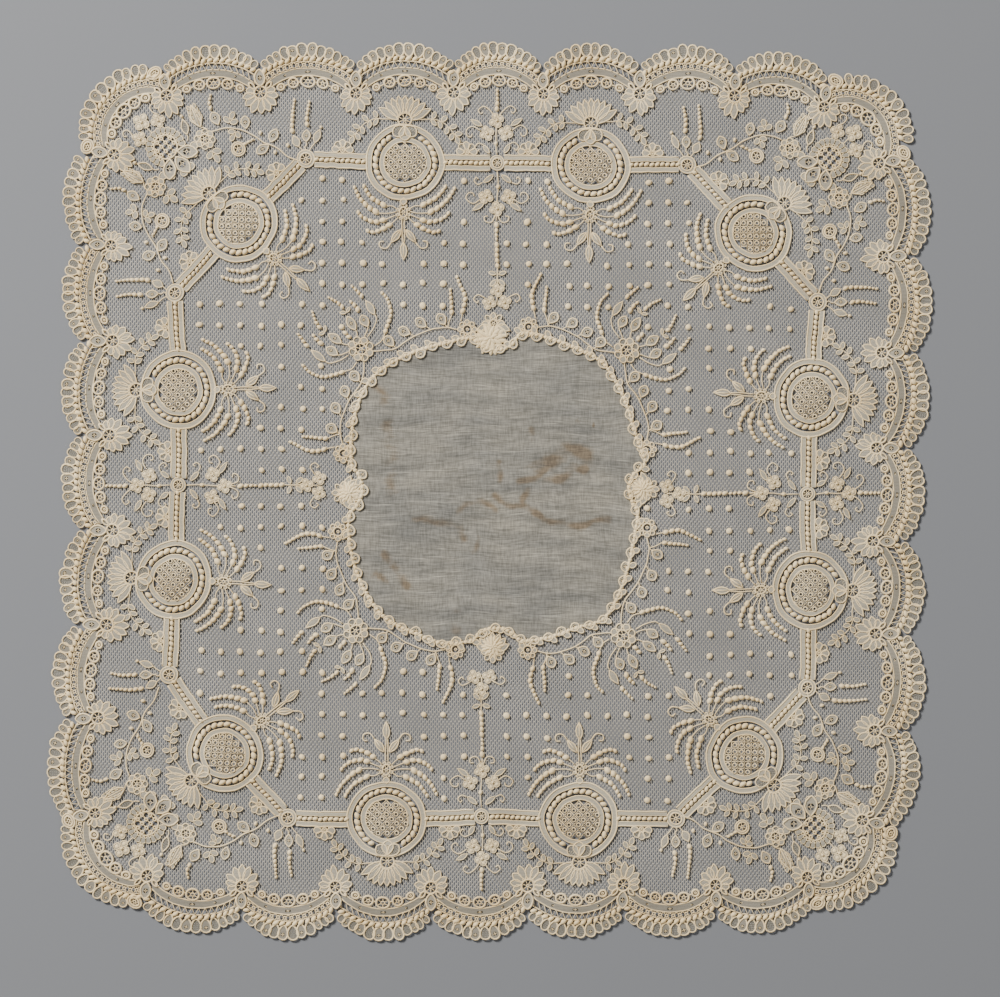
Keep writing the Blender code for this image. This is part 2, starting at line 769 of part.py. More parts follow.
def inside(place, loop):
    crossings = 0
    for i, corner in enumerate(loop):
        before = loop[i - 1]
        if (corner.y > place.y) != (before.y > place.y):
            share = (place.y - corner.y) / (before.y - corner.y)
            crossings += place.x < corner.x + share * (before.x - corner.x)
    return crossings % 2 == 1


def dots(net_outside, net_inside, motifs):
    """The dots that the rows and columns leave clear of every edge and motif."""
    taken = [net_outside, net_inside] + [outline for outline, _ in motifs]
    found = []
    ranks = [(side, rank) for side in (-1, 1) for rank in range(DOT_RANKS)]
    for side_x, column in ranks:
        for side_y, row in ranks:
            x = DOT_MIDDLE[0] + side_x * (DOT_START[0] + DOT_STEP[0] * column)
            y = DOT_MIDDLE[1] + side_y * (DOT_START[1] + DOT_STEP[1] * row) + DOT_TILT * x
            place = Vector((x, y))
            if not inside(place, net_outside) or inside(place, net_inside):
                continue
            if far_from(place, taken, DOT_CLEAR):
                found.append((ring(place, DOT_REACH, DOT_SIDES), place))
    return found


def clear_of(motifs, outside, opening):
    """The motifs that lie wholly inside a sheet, clear of its edge and its opening."""
    found = []
    for outline, middle in motifs:
        within = all(inside(corner, outside) and not inside(corner, opening) for corner in outline)
        clear = all(far_from(corner, [outside, opening], MOTIF_CLEAR) for corner in outline)
        if within and clear and all(
            far_from(corner, [outline], MOTIF_CLEAR) for corner in outside + opening
        ):
            found.append((outline, middle))
    return found


def rim_motifs():
    found = []
    for flower in RIM_FLOWERS:
        place = Vector(flower[1:])
        radius = RIM_FLOWER_RADIUS[flower.kind] - RIM_MARGIN
        found.append((star(place, radius, RIM_PETALS, RIM_NOTCH, angle_of(place)), place))
    return found


def raise_motifs(motifs, ground, top, collection):
    for i, (outline, middle) in enumerate(motifs):
        low_cone(f"{collection.name}_{i}", outline, middle, ground, top, collection)


def build():
    for old in list(bpy.data.objects):
        bpy.data.objects.remove(old)
    parts = bpy.data.collections.new("lace_handkerchief")
    helpers = bpy.data.collections.new("helpers")
    helpers.hide_render = True
    bpy.context.scene.collection.children.link(parts)
    bpy.context.scene.collection.children.link(helpers)

    linen_edge = linen_loop()
    rim_edge = rim_loop()
    band_inside = band_loop(outer=False)
    band_outside = band_loop(outer=True)
    edge_outside, edge_inside = edge_loops()

    linen = flat_shape("linen_centre", [linen_edge], 0, LINEN_TOP, parts)
    rim = flat_shape(
        "centre_rim", [rim_edge, grown(linen_edge, JOIN_GAP)], 0, BAND_TOP, parts
    )
    inner_net = flat_shape(
        "inner_net",
        [grown(band_inside, -JOIN_GAP), grown(rim_edge, JOIN_GAP)],
        0,
        NET_TOP,
        parts,
    )
    band = ridged_shape(
        "medallion_band", [band_outside, band_inside], band_ridges(), BAND_TOP, parts
    )
    outer_net = flat_shape(
        "outer_net",
        [grown(edge_inside, -JOIN_GAP), grown(band_outside, JOIN_GAP)],
        0,
        NET_TOP,
        parts,
    )
    edge = ridged_shape(
        "scalloped_edge", [edge_outside, edge_inside], edge_ridges(), BAND_TOP, parts
    )

    rim_raised = helper_collection(helpers, "rim_raised")
    raise_motifs(rim_motifs(), BAND_TOP, ROPE_TOP, rim_raised)
    join_to(rim, rim_raised, "flowers")
    inner_raised = helper_collection(helpers, "inner_raised")
    sprays = clear_of(inner_net_motifs(), band_inside, rim_edge)
    raise_motifs(sprays, NET_TOP, MOTIF_TOP, inner_raised)
    raise_motifs(dots(band_inside, rim_edge, sprays), NET_TOP, MOTIF_TOP, inner_raised)
    join_to(inner_net, inner_raised, "sprays_and_dots")
    outer_raised = helper_collection(helpers, "outer_raised")
    flowers = clear_of(outer_net_motifs(), edge_inside, band_outside)
    raise_motifs(flowers, NET_TOP, MOTIF_TOP, outer_raised)
    join_to(outer_net, outer_raised, "flowers")

    for helper in helpers.all_objects:
        helper.hide_render = True
        helper.display_type = "WIRE"

    finish(linen, LINEN_CLOTH)
    finish(rim, PADDED_THREAD)
    finish(inner_net, NET_THREAD)
    finish(band, LACE_CLOTH)
    finish(outer_net, NET_THREAD)
    finish(edge, LACE_CLOTH)


build()
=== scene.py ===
# %% [markdown]
# # A needle-lace handkerchief
# The real thing is 36 cm square. Its motifs were worked one by one with a needle: a thick outline
# cord is laid first, the space inside is filled with close or open stitches, and raised knots are
# padded and wrapped. A fine net then joins the motifs, and a piece of linen fills the middle.
# Here the same order is kept: small shapes are made once and laid many times, like beads from a
# tray, and each zone of the lace becomes one mesh of cords and one of stitched cloth.

import math

import bmesh
import bpy
import numpy as np
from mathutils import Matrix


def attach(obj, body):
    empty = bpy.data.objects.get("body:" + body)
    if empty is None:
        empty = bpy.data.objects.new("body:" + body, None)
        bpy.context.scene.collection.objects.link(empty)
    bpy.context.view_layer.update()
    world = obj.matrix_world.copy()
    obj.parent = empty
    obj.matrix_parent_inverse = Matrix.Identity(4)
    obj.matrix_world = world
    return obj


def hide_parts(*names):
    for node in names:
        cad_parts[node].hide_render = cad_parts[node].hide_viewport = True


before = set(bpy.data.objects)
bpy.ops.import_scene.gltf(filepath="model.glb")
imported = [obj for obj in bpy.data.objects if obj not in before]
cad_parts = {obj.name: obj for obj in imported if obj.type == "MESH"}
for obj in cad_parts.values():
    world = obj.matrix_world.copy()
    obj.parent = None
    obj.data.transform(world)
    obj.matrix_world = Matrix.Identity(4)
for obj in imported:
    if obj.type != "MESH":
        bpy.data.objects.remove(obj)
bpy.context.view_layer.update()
MM = 0.001
hand = np.random.default_rng(11)
print("nodes to dress:", sorted(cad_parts))

# %% [markdown]
# ## Gathering stitches
# A piece holds tens of thousands of small faces. Adding them one by one through Blender's
# operators would take minutes, so points and faces are gathered in arrays first, and the mesh is
# made in one go. `Stitches` is that basket. A `Motif` keeps three baskets apart, because cord,
# close cloth and sheer cloth get different finishes, and it remembers its open eyes, where no net
# may run.


# %% Baskets for stitches
class Stitches:
    def __init__(self):
        self.points = []
        self.faces = []
        self.count = 0

    def add(self, points, faces):
        self.points.append(np.asarray(points, float))
        self.faces += [np.asarray(group, int) + self.count for group in faces]
        self.count += len(points)


FINISHES = ("cord", "cloth", "sheer")


class Motif:
    def __init__(self):
        self.parts = {finish: Stitches() for finish in FINISHES}
        self.eyes = []


def lay(zone, motif, x, y, turn=0.0, size=1.0, wide=None, base=0.0):
    """Lays copies of a motif at many places, turned in degrees and stretched."""
    wide = size if wide is None else wide
    values = np.broadcast_arrays(*(np.atleast_1d(v) for v in (x, y, turn, size, wide, base)))
    x, y, turn, size, wide, base = (np.asarray(v, float)[:, None] for v in values)
    cos, sin = np.cos(np.radians(turn)), np.sin(np.radians(turn))
    for finish, part in motif.parts.items():
        if not part.count:
            continue
        points = np.concatenate(part.points)
        along, across = points[:, 0] * size, points[:, 1] * wide
        ahead, aside = x + along * cos - across * sin, y + along * sin + across * cos
        placed = np.stack([ahead, aside, base + points[:, 2]], -1)
        shift = (np.arange(len(x)) * len(points))[:, None, None]
        zone.parts[finish].add(
            placed.reshape(-1, 3),
            [(group[None] + shift).reshape(-1, group.shape[1]) for group in part.faces],
        )
    for ex, ey, er in motif.eyes:
        along, across = ex * size, ey * wide
        places = np.concatenate(
            [x + along * cos - across * sin, y + along * sin + across * cos, er * np.abs(size)], 1
        )
        zone.eyes += [tuple(place) for place in places]


# %% [markdown]
# ## From basket to mesh
# The arrays go straight into a mesh with `foreach_set`, which is Blender's fast way in. Normals
# are turned outwards afterwards, since mirrored copies come out inside out. Cloth is a single layer
# that lies flat, so its faces are simply turned up.


# How far uneven hand work strays, in millimetres, in slow and in quick waves
SLOW_PUSH, QUICK_PUSH = 0.22, 0.07


def wandered(points):
    """Pushes points a little, slow and quick, as uneven hand work does."""
    x, y = points[:, 0], points[:, 1]
    slow = np.sin(y / 6.1 + np.sin(x / 17.0)), np.sin(x / 7.3 + 2 * np.sin(y / 23.0))
    quick = np.sin(y / 1.3 + 3 * np.sin(x / 5.0)), np.sin(x / 1.1 + 3 * np.sin(y / 4.0))
    moved = points.copy()
    moved[:, :2] += SLOW_PUSH * np.stack(slow, 1) + QUICK_PUSH * np.stack(quick, 1)
    return moved


def looking_up(points, group):
    """Turns flat faces over where they would look down."""
    x, y = points[group][..., 0], points[group][..., 1]
    area = (x * np.roll(y, -1, 1) - np.roll(x, -1, 1) * y).sum(1)
    return np.where(area[:, None] < 0, group[:, ::-1], group)


def piece_from(stitches, name, material, node, raised=True):
    points = wandered(np.concatenate(stitches.points)) * MM
    groups = stitches.faces
    if not raised:
        groups = [looking_up(points, group) for group in groups]
    sizes = np.concatenate([np.full(len(group), group.shape[1]) for group in groups])
    corners = np.concatenate([group.ravel() for group in groups])
    mesh = bpy.data.meshes.new(name)
    mesh.vertices.add(len(points))
    mesh.vertices.foreach_set("co", points.ravel().astype(np.float32))
    mesh.loops.add(len(corners))
    mesh.loops.foreach_set("vertex_index", corners.astype(np.int32))
    mesh.polygons.add(len(sizes))
    mesh.polygons.foreach_set("loop_start", (np.cumsum(sizes) - sizes).astype(np.int32))
    mesh.polygons.foreach_set("use_smooth", np.full(len(sizes), raised))
    mesh.update(calc_edges=True)
    if raised:
        shape = bmesh.new()
        shape.from_mesh(mesh)
        bmesh.ops.recalc_face_normals(shape, faces=shape.faces)
        shape.to_mesh(mesh)
        shape.free()
    mesh.materials.append(material)
    piece = bpy.data.objects.new(name, mesh)
    bpy.context.scene.collection.objects.link(piece)
    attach(piece, "root")
    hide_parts(node)
    print(name, int((sizes - 2).sum()), "triangles")
    return piece


# %% [markdown]
# ## Cords
# The outline of every petal is a bundle of threads held down with close stitches. It is made as
# a tube that follows a path in the plane. Three to five sides are enough for something half a
# millimetre thick, and smooth shading rounds them off. So few sides look thinner than a round
# cord, which is why such tubes are made a little plumper.


# %% Cords and curves
CORD = 0.62  # usual width of an outline cord, mm
PLUMP = 1.18  # how much plumper a cord of few sides is made
GROUND = 0.45  # height at which the cords lie, mm


def tube(motif, path, width=CORD, base=GROUND, closed=False, sides=5, height=None):
    path = np.asarray(path, float)
    count = len(path)
    before, after = np.roll(path, 1, 0), np.roll(path, -1, 0)
    if not closed:
        before[0], after[-1] = path[0], path[-1]
    along = after - before
    along /= np.maximum(np.linalg.norm(along, axis=1, keepdims=True), 1e-9)
    across = np.stack([-along[:, 1], along[:, 0]], 1)
    half = np.full(count, width / 2.0 * (PLUMP if sides < 5 else 1.0))
    tall = half if height is None else np.full(count, height / 2.0)
    angles = np.pi / (6 if sides == 3 else 2) + 2 * np.pi * np.arange(sides) / sides
    ring = path[:, None] + across[:, None] * (half[:, None] * np.cos(angles))[:, :, None]
    level = base + tall[:, None] * (1 + np.sin(angles))
    points = np.concatenate([ring, level[:, :, None]], 2).reshape(-1, 3)
    steps = np.arange(count if closed else count - 1)[:, None]
    a, b = np.arange(sides), (np.arange(sides) + 1) % sides
    nxt = (steps + 1) % count
    quads = np.stack(
        [steps * sides + a, steps * sides + b, nxt * sides + b, nxt * sides + a], -1
    ).reshape(-1, 4)
    faces = [quads]
    if not closed:
        faces.append(np.array([a[::-1], (count - 1) * sides + a]))
    motif.parts["cord"].add(points, faces)


def curve(points, count):
    """A smooth path through a few points."""
    points = np.asarray(points, float)
    padded = np.concatenate([[2 * points[0] - points[1]], points, [2 * points[-1] - points[-2]]])
    spans = len(points) - 1
    found = []
    for t in np.linspace(0, spans, count):
        i = min(int(t), spans - 1)
        u = t - i
        p0, p1, p2, p3 = padded[i : i + 4]
        found.append(
            0.5
            * (
                2 * p1
                + (p2 - p0) * u
                + (2 * p0 - 5 * p1 + 4 * p2 - p3) * u * u
                + (3 * p1 - p0 - 3 * p2 + p3) * u**3
            )
        )
    return np.array(found)


def circle(x, y, radius, count=12, wide=None):
    turns = 2 * np.pi * np.arange(count) / count
    wide = radius if wide is None else wide
    return np.stack([x + radius * np.cos(turns), y + wide * np.sin(turns)], 1)


# %% [markdown]
# ## Knots, petals and eyes
# A padded knot is a low dome. A petal is a patch of cloth with a cord round it. Where the
# photograph shows a dark dot in a petal, the cloth has a real hole with a tiny cross of thread
# over it. Sheer petals are rows of single threads with gaps between, so the ground shows through
# them in the right way from every side.


# %% Small shapes
ROUND_DOME = ((1.0, 0.0), (0.93, 0.5), (0.58, 0.88))
PLAIN_DOME = ((1.0, 0.0), (0.76, 0.72))


def joined(loops, count):
    """Four-sided faces between loops of equal count, each loop to the next."""
    a, b = np.arange(count), (np.arange(count) + 1) % count
    starts = range(0, (loops - 1) * count, count)
    return np.concatenate(
        [np.stack([k + a, k + b, k + count + b, k + count + a], 1) for k in starts]
    )


def knot(length, width, height=1.0, base=0.5, around=8, pointed=0.0, rings=ROUND_DOME):
    """A low dome, round or with two pointed ends like a grain."""
    motif = Motif()
    turns = 2 * np.pi * np.arange(around) / around
    points = []
    for share, rise in rings:
        for turn in turns:
            x = length / 2 * share * math.cos(turn)
            y = width / 2 * share * math.sin(turn) * abs(math.sin(turn)) ** pointed
            points.append((x, y, base + height * rise))
    points.append((0, 0, base + height))
    a, b = np.arange(around), (np.arange(around) + 1) % around
    last = (len(rings) - 1) * around
    top = np.stack([last + a, last + b, np.full(around, last + around)], 1)
    motif.parts["cord"].add(points, [joined(len(rings), around), top])
    return motif


KNOT = knot(1.0, 1.0, 0.95, 0.5, 8, 0.4, PLAIN_DOME)
PAD = knot(1.0, 1.0, 0.5, 0.55, 8, 0.1, PLAIN_DOME)


def outline(length, width, fullness=0.75, sharp=1.0, count=12):
    """A leaf from its root at the origin to its tip on +X. Fullness moves the widest place."""
    t = (1 - np.cos(np.pi * np.linspace(0, 1, count // 2 + 1))) / 2
    bulge = np.sin(np.pi * t**fullness) ** sharp
    upper = np.stack([length * t, width / 2 * bulge], 1)
    return np.concatenate([upper, upper[-2:0:-1] * (1, -1)])


def shrunk(path, distance):
    path = np.asarray(path, float)
    along = np.roll(path, -1, 0) - np.roll(path, 1, 0)
    along /= np.maximum(np.linalg.norm(along, axis=1, keepdims=True), 1e-9)
    turned = np.stack([along[:, 1], -along[:, 0]], 1)
    area = (path[:, 0] * np.roll(path[:, 1], -1) - np.roll(path[:, 0], -1) * path[:, 1]).sum()
    return path - turned * distance * (1 if area > 0 else -1)


def patch(motif, path, level=0.8, crown=0.15):
    """One layer of cloth inside an outline, slightly crowned in its middle."""
    path = np.asarray(path, float)
    count = len(path)
    middle = path.mean(0)
    inner = middle + (path - middle) * 0.5
    top = level + crown
    points = np.concatenate(
        [np.c_[path, np.full(count, level)], np.c_[inner, np.full(count, top)], [[*middle, top]]]
    )
    a, b = np.arange(count), (np.arange(count) + 1) % count
    fan = np.stack([count + a, count + b, np.full(count, 2 * count)], 1)
    motif.parts["cloth"].add(points, [joined(2, count), fan])


def pierced(motif, path, hole, level=0.85):
    """A layer of cloth with one round hole, given as x, y and radius."""
    path = np.asarray(path, float)
    away = path - hole[:2]
    rim = hole[:2] + away / np.linalg.norm(away, axis=1, keepdims=True) * hole[2]
    points = np.c_[np.r_[path, rim], np.full(2 * len(path), level)]
    motif.parts["cloth"].add(points, [joined(2, len(path))])


def ribbons(stitches, starts, ends, width, level):
    """Flat threads between pairs of places."""
    starts, ends = np.asarray(starts, float), np.asarray(ends, float)
    along = ends - starts
    along /= np.maximum(np.linalg.norm(along, axis=1, keepdims=True), 1e-9)
    across = np.stack([-along[:, 1], along[:, 0]], 1) * np.reshape(width, (-1, 1)) / 2
    corners = np.stack([starts - across, ends - across, ends + across, starts + across], 1)
    heights = np.broadcast_to(np.reshape(level, (-1, 1, 1)), (len(starts), 4, 1))
    points = np.concatenate([corners, heights], 2).reshape(-1, 3)
    stitches.add(points, [np.arange(len(points)).reshape(-1, 4)])


def crossings(path, offset, axis):
    """Where a line across the outline enters and leaves it."""
    other = 1 - axis
    here, following = path, np.roll(path, -1, 0)
    low, high = here[:, other] - offset, following[:, other] - offset
    hit = (low > 0) != (high > 0)
    share = low[hit] / (low[hit] - high[hit])
    places = here[hit, axis] + share * (following[hit, axis] - here[hit, axis])
    return np.sort(places)


def gauze(motif, path, pitch=0.5, width=0.3, level=0.7):
    """Rows of single threads over an outline, one way close and the other way open."""
    path = np.asarray(path, float)
    for axis, step, thread in ((0, pitch, width), (1, pitch * 1.7, width * 0.7)):
        other = 1 - axis
        low, high = path[:, other].min(), path[:, other].max()
        for offset in np.arange(low + step / 2, high, step):
            places = crossings(path, offset, axis)
            for start, end in zip(places[::2], places[1::2]):
                ends = np.empty((2, 2))
                ends[:, other] = offset
                ends[:, axis] = start, end
                ribbons(motif.parts["sheer"], ends[:1], ends[1:], thread, level)


def spoked_eye(motif, x, y, radius, spokes=8, width=CORD, wide=None, centre=0.3):
    """A corded ring with threads that run in to a small ring in its middle."""
    wide = radius if wide is None else wide
    tube(motif, circle(x, y, radius, 14, wide), width, GROUND, closed=True, sides=4)
    if spokes:
        turns = 2 * np.pi * (np.arange(spokes) + 0.5) / spokes
        ways = np.stack([radius * np.cos(turns), wide * np.sin(turns)], 1)
        for way in ways:
            tube(motif, [(x, y) + way * 0.9, (x, y) + way * centre], 0.3, 0.55, sides=3)
    tube(motif, circle(x, y, radius * centre, 8, wide * centre), 0.42, 0.5, closed=True, sides=3)
    motif.eyes.append((x, y, min(radius, wide)))


def petal(
    length, width, fill="cloth", fullness=0.75, sharp=1.0, eye=None, rib=False, cord=CORD, count=12
):
    """A leaf or petal: its corded outline and what fills it."""
    motif = Motif()
    path = outline(length, width, fullness, sharp, count)
    within = shrunk(path, cord * 0.45)
    tube(motif, within, cord, GROUND + 0.1, closed=True, sides=3 if cord < 0.45 else 4)
    if eye:
        share, radius = eye
        place = np.array([length * share, 0.0, radius])
        pierced(motif, within, place)
        motif.eyes.append((length * share, 0.0, radius))
        x, y = place[:2]
        tube(motif, circle(x, y, radius * 0.35, 6), 0.22, 0.6, closed=True, sides=3)
        for way in ((radius, 0), (0, radius)):
            for side in (1, -1):
                end = (x + side * way[0], y + side * way[1])
                near = (x + side * way[0] * 0.35, y + side * way[1] * 0.35)
                tube(motif, [near, end], 0.2, 0.6, sides=3)
    elif fill == "sheer":
        gauze(motif, within)
    else:
        patch(motif, within)
    if fill == "padded":
        lay(motif, PAD, length * 0.52, 0, 0, length * 0.78, width * 0.74)
    if rib:
        tube(motif, [(length * 0.08, 0), (length * 0.85, 0)], 0.36, 0.75, sides=4)
    return motif


def distances(path):
    """How far along a path each of its points lies."""
    legs = np.linalg.norm(np.diff(path, axis=0), axis=1)
    return np.concatenate([[0], np.cumsum(legs)])


def places_along(path, reached, at):
    """Where a path is at given distances from its start."""
    return np.stack([np.interp(at, reached, path[:, k]) for k in (0, 1)], 1)


def strand(zone, path, first=2.5, last=1.4, base=0.0, slant=18, fat=0.84):
    """Padded knots along a path, large at its start and smaller towards its end."""
    path = np.asarray(path, float)
    reached = distances(path)
    places, sizes = [], []
    at = first * 0.4
    while at < reached[-1]:
        size = first + (last - first) * at / reached[-1]
        places.append(at)
        sizes.append(size)
        at += size * 0.94
    places = np.array(places)
    spots = places_along(path, reached, places)
    way = places_along(path, reached, places + 0.4) - places_along(path, reached, places - 0.4)
    uneven = hand.normal(0, 5, len(spots))
    turn = np.degrees(np.arctan2(way[:, 1], way[:, 0])) + slant + uneven
    sizes = np.array(sizes) * hand.normal(1, 0.04, len(spots))
    lay(zone, KNOT, *spots.T, turn, sizes * 1.12, sizes * fat, base)


# %% [markdown]
# ## Finishes
# Old cotton thread is cream, not white, and it has yellowed unevenly. Each finish mixes two creams
# with a soft noise the size of a thumb, and a much finer noise paints shade into the gaps between
# stitches and lifts the surface a little. The rows of stitches are a wave texture at their real pitch,
# about half a millimetre. Close cloth comes in three tones, by how densely its rows are packed.


# %% Stitch materials
WHITE = (1, 1, 1)


def node(tree, kind, **values):
    made = tree.nodes.new(kind)
    for name, value in values.items():
        setattr(made, name, value)
    return made


def mixed(tree, kind, factor, first, second):
    made = node(tree, "ShaderNodeMix", data_type="RGBA", blend_type=kind)
    for socket, value in ((0, factor), (6, first), (7, second)):
        if isinstance(value, bpy.types.NodeSocket):
            tree.links.new(value, made.inputs[socket])
        else:
            made.inputs[socket].default_value = value
    return made.outputs[2]


def noise(tree, where, size_mm, detail=2.0):
    made = node(tree, "ShaderNodeTexNoise")
    made.inputs["Scale"].default_value = 1 / (size_mm * MM)
    made.inputs["Detail"].default_value = detail
    tree.links.new(where, made.inputs["Vector"])
    return made.outputs["Fac"]


def rows(tree, where, direction, pitch_mm, wander=1.5):
    made = node(tree, "ShaderNodeTexWave", wave_type="BANDS", bands_direction=direction)
    made.inputs["Scale"].default_value = math.pi / 10 / (pitch_mm * MM)
    made.inputs["Distortion"].default_value = wander
    tree.links.new(where, made.inputs["Vector"])
    return made.outputs["Fac"]


def ramp(tree, value, low, high, start=0.35, end=0.65):
    made = node(tree, "ShaderNodeValToRGB")
    made.color_ramp.elements[0].position, made.color_ramp.elements[1].position = start, end
    made.color_ramp.elements[0].color = (*low, 1)
    made.color_ramp.elements[1].color = (*high, 1)
    tree.links.new(value, made.inputs["Fac"])
    return made.outputs["Color"]


def stitched(name, low, high, row_mm=0.4, row_depth=0.25, roughness=0.8, sheen=0.25, grain=0.22):
    material = bpy.data.materials.new(name)
    material.use_nodes = True
    tree = material.node_tree
    shader = tree.nodes["Principled BSDF"]
    where = node(tree, "ShaderNodeTexCoord").outputs["Object"]
    base = ramp(tree, noise(tree, where, 22.0), low, high)
    fine = noise(tree, where, grain)
    # Painted shade: the fine noise darkens the gaps between stitches, where the bump sinks
    gap_shade = ramp(tree, fine, (0.55, 0.52, 0.48), WHITE, 0.3, 0.55)
    yellowing_with_gap_shade = mixed(tree, "MULTIPLY", 0.55, base, gap_shade)
    lines = ramp(tree, rows(tree, where, "Y", row_mm), (0.6, 0.58, 0.55), WHITE, 0.2, 0.6)
    yellowing_with_gap_shade = mixed(tree, "MULTIPLY", row_depth, yellowing_with_gap_shade, lines)
    tree.links.new(yellowing_with_gap_shade, shader.inputs["Base Color"])
    bump = node(tree, "ShaderNodeBump")
    bump.inputs["Strength"].default_value = 0.5
    bump.inputs["Distance"].default_value = 0.12 * MM
    tree.links.new(fine, bump.inputs["Height"])
    tree.links.new(bump.outputs["Normal"], shader.inputs["Normal"])
    shader.inputs["Roughness"].default_value = roughness
    shader.inputs["Sheen Weight"].default_value = sheen
    shader.inputs["Sheen Roughness"].default_value = 0.5
    shader.inputs["Specular IOR Level"].default_value = 0.25
    return material


CLOSE_ROWS = {"row_mm": 0.55, "row_depth": 0.85, "roughness": 0.85, "sheen": 0.1}
padded_thread = stitched(
    "padded_thread", (0.72, 0.537, 0.275), (0.86, 0.685, 0.395), 0.45, 0.25, 0.7, 0.2
)
band_cloth = stitched("dense_stitches", (0.38, 0.335, 0.245), (0.47, 0.42, 0.315), **CLOSE_ROWS)
close_cloth = stitched("close_stitches", (0.225, 0.20, 0.153), (0.29, 0.26, 0.203), **CLOSE_ROWS)
light_cloth = stitched("even_stitches", (0.315, 0.28, 0.212), (0.395, 0.354, 0.272), **CLOSE_ROWS)
sheer_cloth = stitched(
    "open_stitches", (0.262, 0.24, 0.19), (0.325, 0.298, 0.24), 0.42, 0.3, 0.85, 0.05
)
net_thread = stitched("net_thread", (0.37, 0.335, 0.27), (0.45, 0.405, 0.33), 0.5, 0.15, 0.85, 0.05)


def dress(zone, name, cad_node, cloth=close_cloth):
    """Turns a zone's three baskets into pieces that stand for a node of the frame."""
    finishes = {"cord": padded_thread, "cloth": cloth, "sheer": sheer_cloth}
    return [
        piece_from(part, f"{name}_{finish}", finishes[finish], cad_node, finish == "cord")
        for finish, part in zone.parts.items()
        if part.count
    ]


# %% [markdown]
# ## The scalloped edge: where its 32 scallops are
# On the real lace every side has eight rosettes, and a scallop hangs between each two. The places
# of the rosettes' eyes are measured in millimetres from the middle of the handkerchief. Lines that
# follow a scallop are arcs, given by how far they lie below the notch, beside it, and below the
# top of the arc.

# %% Rosettes and scallops
SIDES = (
    (90, 11.7, 8.7, 15.0, (
        (-129.6, 157.6), (-92.3, 159.0), (-54.2, 158.8), (-14.9, 159.2),
        (20.8, 158.6), (59.4, 158.6), (97.4, 157.5), (132.9, 153.2),
    )),
    (0, 12.9, 7.5, 13.4, (
        (154.9, 130.7), (156.8, 93.5), (156.3, 55.3), (154.2, 17.3),
        (152.7, -20.2), (153.8, -57.3), (153.4, -95.7), (148.6, -131.8),
    )),
    (-90, 12.7, 8.6, 13.4, (
        (126.3, -154.1), (90.0, -157.3), (53.0, -157.4), (14.8, -157.9),
        (-23.8, -158.8), (-62.1, -158.2), (-99.5, -157.8), (-137.2, -153.6),
    )),
    (180, 13.0, 7.4, 14.0, (
        (-158.1, -128.6), (-156.9, -90.4), (-153.4, -53.6), (-151.1, -15.7),
        (-152.5, 22.4), (-151.1, 60.1), (-151.8, 98.0), (-150.6, 134.5),
    )),
)
CORNER_TURN = 10


def pointing(degrees):
    return np.array([math.cos(math.radians(degrees)), math.sin(math.radians(degrees))])


def angle_of(vector):
    return math.degrees(math.atan2(vector[1], vector[0]))


stations = []
for facing, notch_out, rise, corner_rise, eyes in SIDES:
    for place, eye in enumerate(eyes):
        turn = CORNER_TURN if place == 0 else -CORNER_TURN if place == 7 else 0
        out = pointing(facing + turn)
        stations.append({
            "eye": np.array(eye),
            "out": out,
            "notch": np.array(eye) + out * notch_out,
            "rise": corner_rise if place == 7 else rise,
            "corner": place == 7,
            "open": place % 2 == 0,
        })


def scallop(i, sink, beside, depth, shares):
    """Places on a line that follows scallop i, and the way each faces, in degrees."""
    here, following = stations[i], stations[(i + 1) % len(stations)]
    ends = []
    for station, way in ((here, 1), (following, -1)):
        ahead = np.array([station["out"][1], -station["out"][0]])
        ends.append(station["notch"] - station["out"] * sink + ahead * way * beside)
    between = following["notch"] - here["notch"]
    outward = np.array([-between[1], between[0]]) / np.linalg.norm(between)
    drop = (here["notch"] + following["notch"] - ends[0] - ends[1]) @ outward / 2
    rise = here["rise"] - depth + drop
    chord = ends[1] - ends[0]
    half = np.linalg.norm(chord) / 2
    ahead = chord / (2 * half)
    left = np.array([-ahead[1], ahead[0]])
    radius = (half * half + rise * rise) / (2 * rise)
    centre = ends[0] + chord / 2 + left * (rise - radius)
    turns = math.atan2(half, radius - rise) * (2 * np.asarray(shares, float) - 1)
    facing = ahead * np.sin(turns)[:, None] + left * np.cos(turns)[:, None]
    return centre + facing * radius, np.degrees(np.arctan2(facing[:, 1], facing[:, 0]))


# %% [markdown]
# ## Petals and rope
# Sheer petals and petals with a tiny eye take turns round the rim, a dozen to a scallop, small at
# the notches and large at the top. Below them runs a rope of padded knots, each a little aslant, so
# that they look twisted.

# %% Petals and rope of the edge
PETALS, CORNER_PETALS = 12, 15
PETAL_LONG, PETAL_WIDE = 5.9, 3.9
sheer_petal = petal(PETAL_LONG, PETAL_WIDE, "sheer", 1.3, 0.42, cord=0.56, count=14)
eyed_petal = petal(PETAL_LONG, PETAL_WIDE, "cloth", 1.3, 0.42, eye=(0.62, 0.7), cord=0.56, count=14)
# Place and turn of the big ring on either side of each corner scallop
CUSP_RINGS = (
    (-134.7, 166.7, 35), (-161.1, 137.5, 60), (137.7, 163.7, 145), (164.9, 135.1, 120),
    (159.8, -136.7, 65), (130.7, -164.7, 30), (-168.6, -131.9, 110), (-142.3, -164.0, 150),
)


def clear_of_rings(points, distance):
    """Which points keep clear of the big rings beside the corner scallops."""
    rings = np.array(CUSP_RINGS)[:, :2]
    return np.min(np.hypot(*(np.asarray(points)[:, None] - rings).transpose(2, 0, 1)), 1) > distance


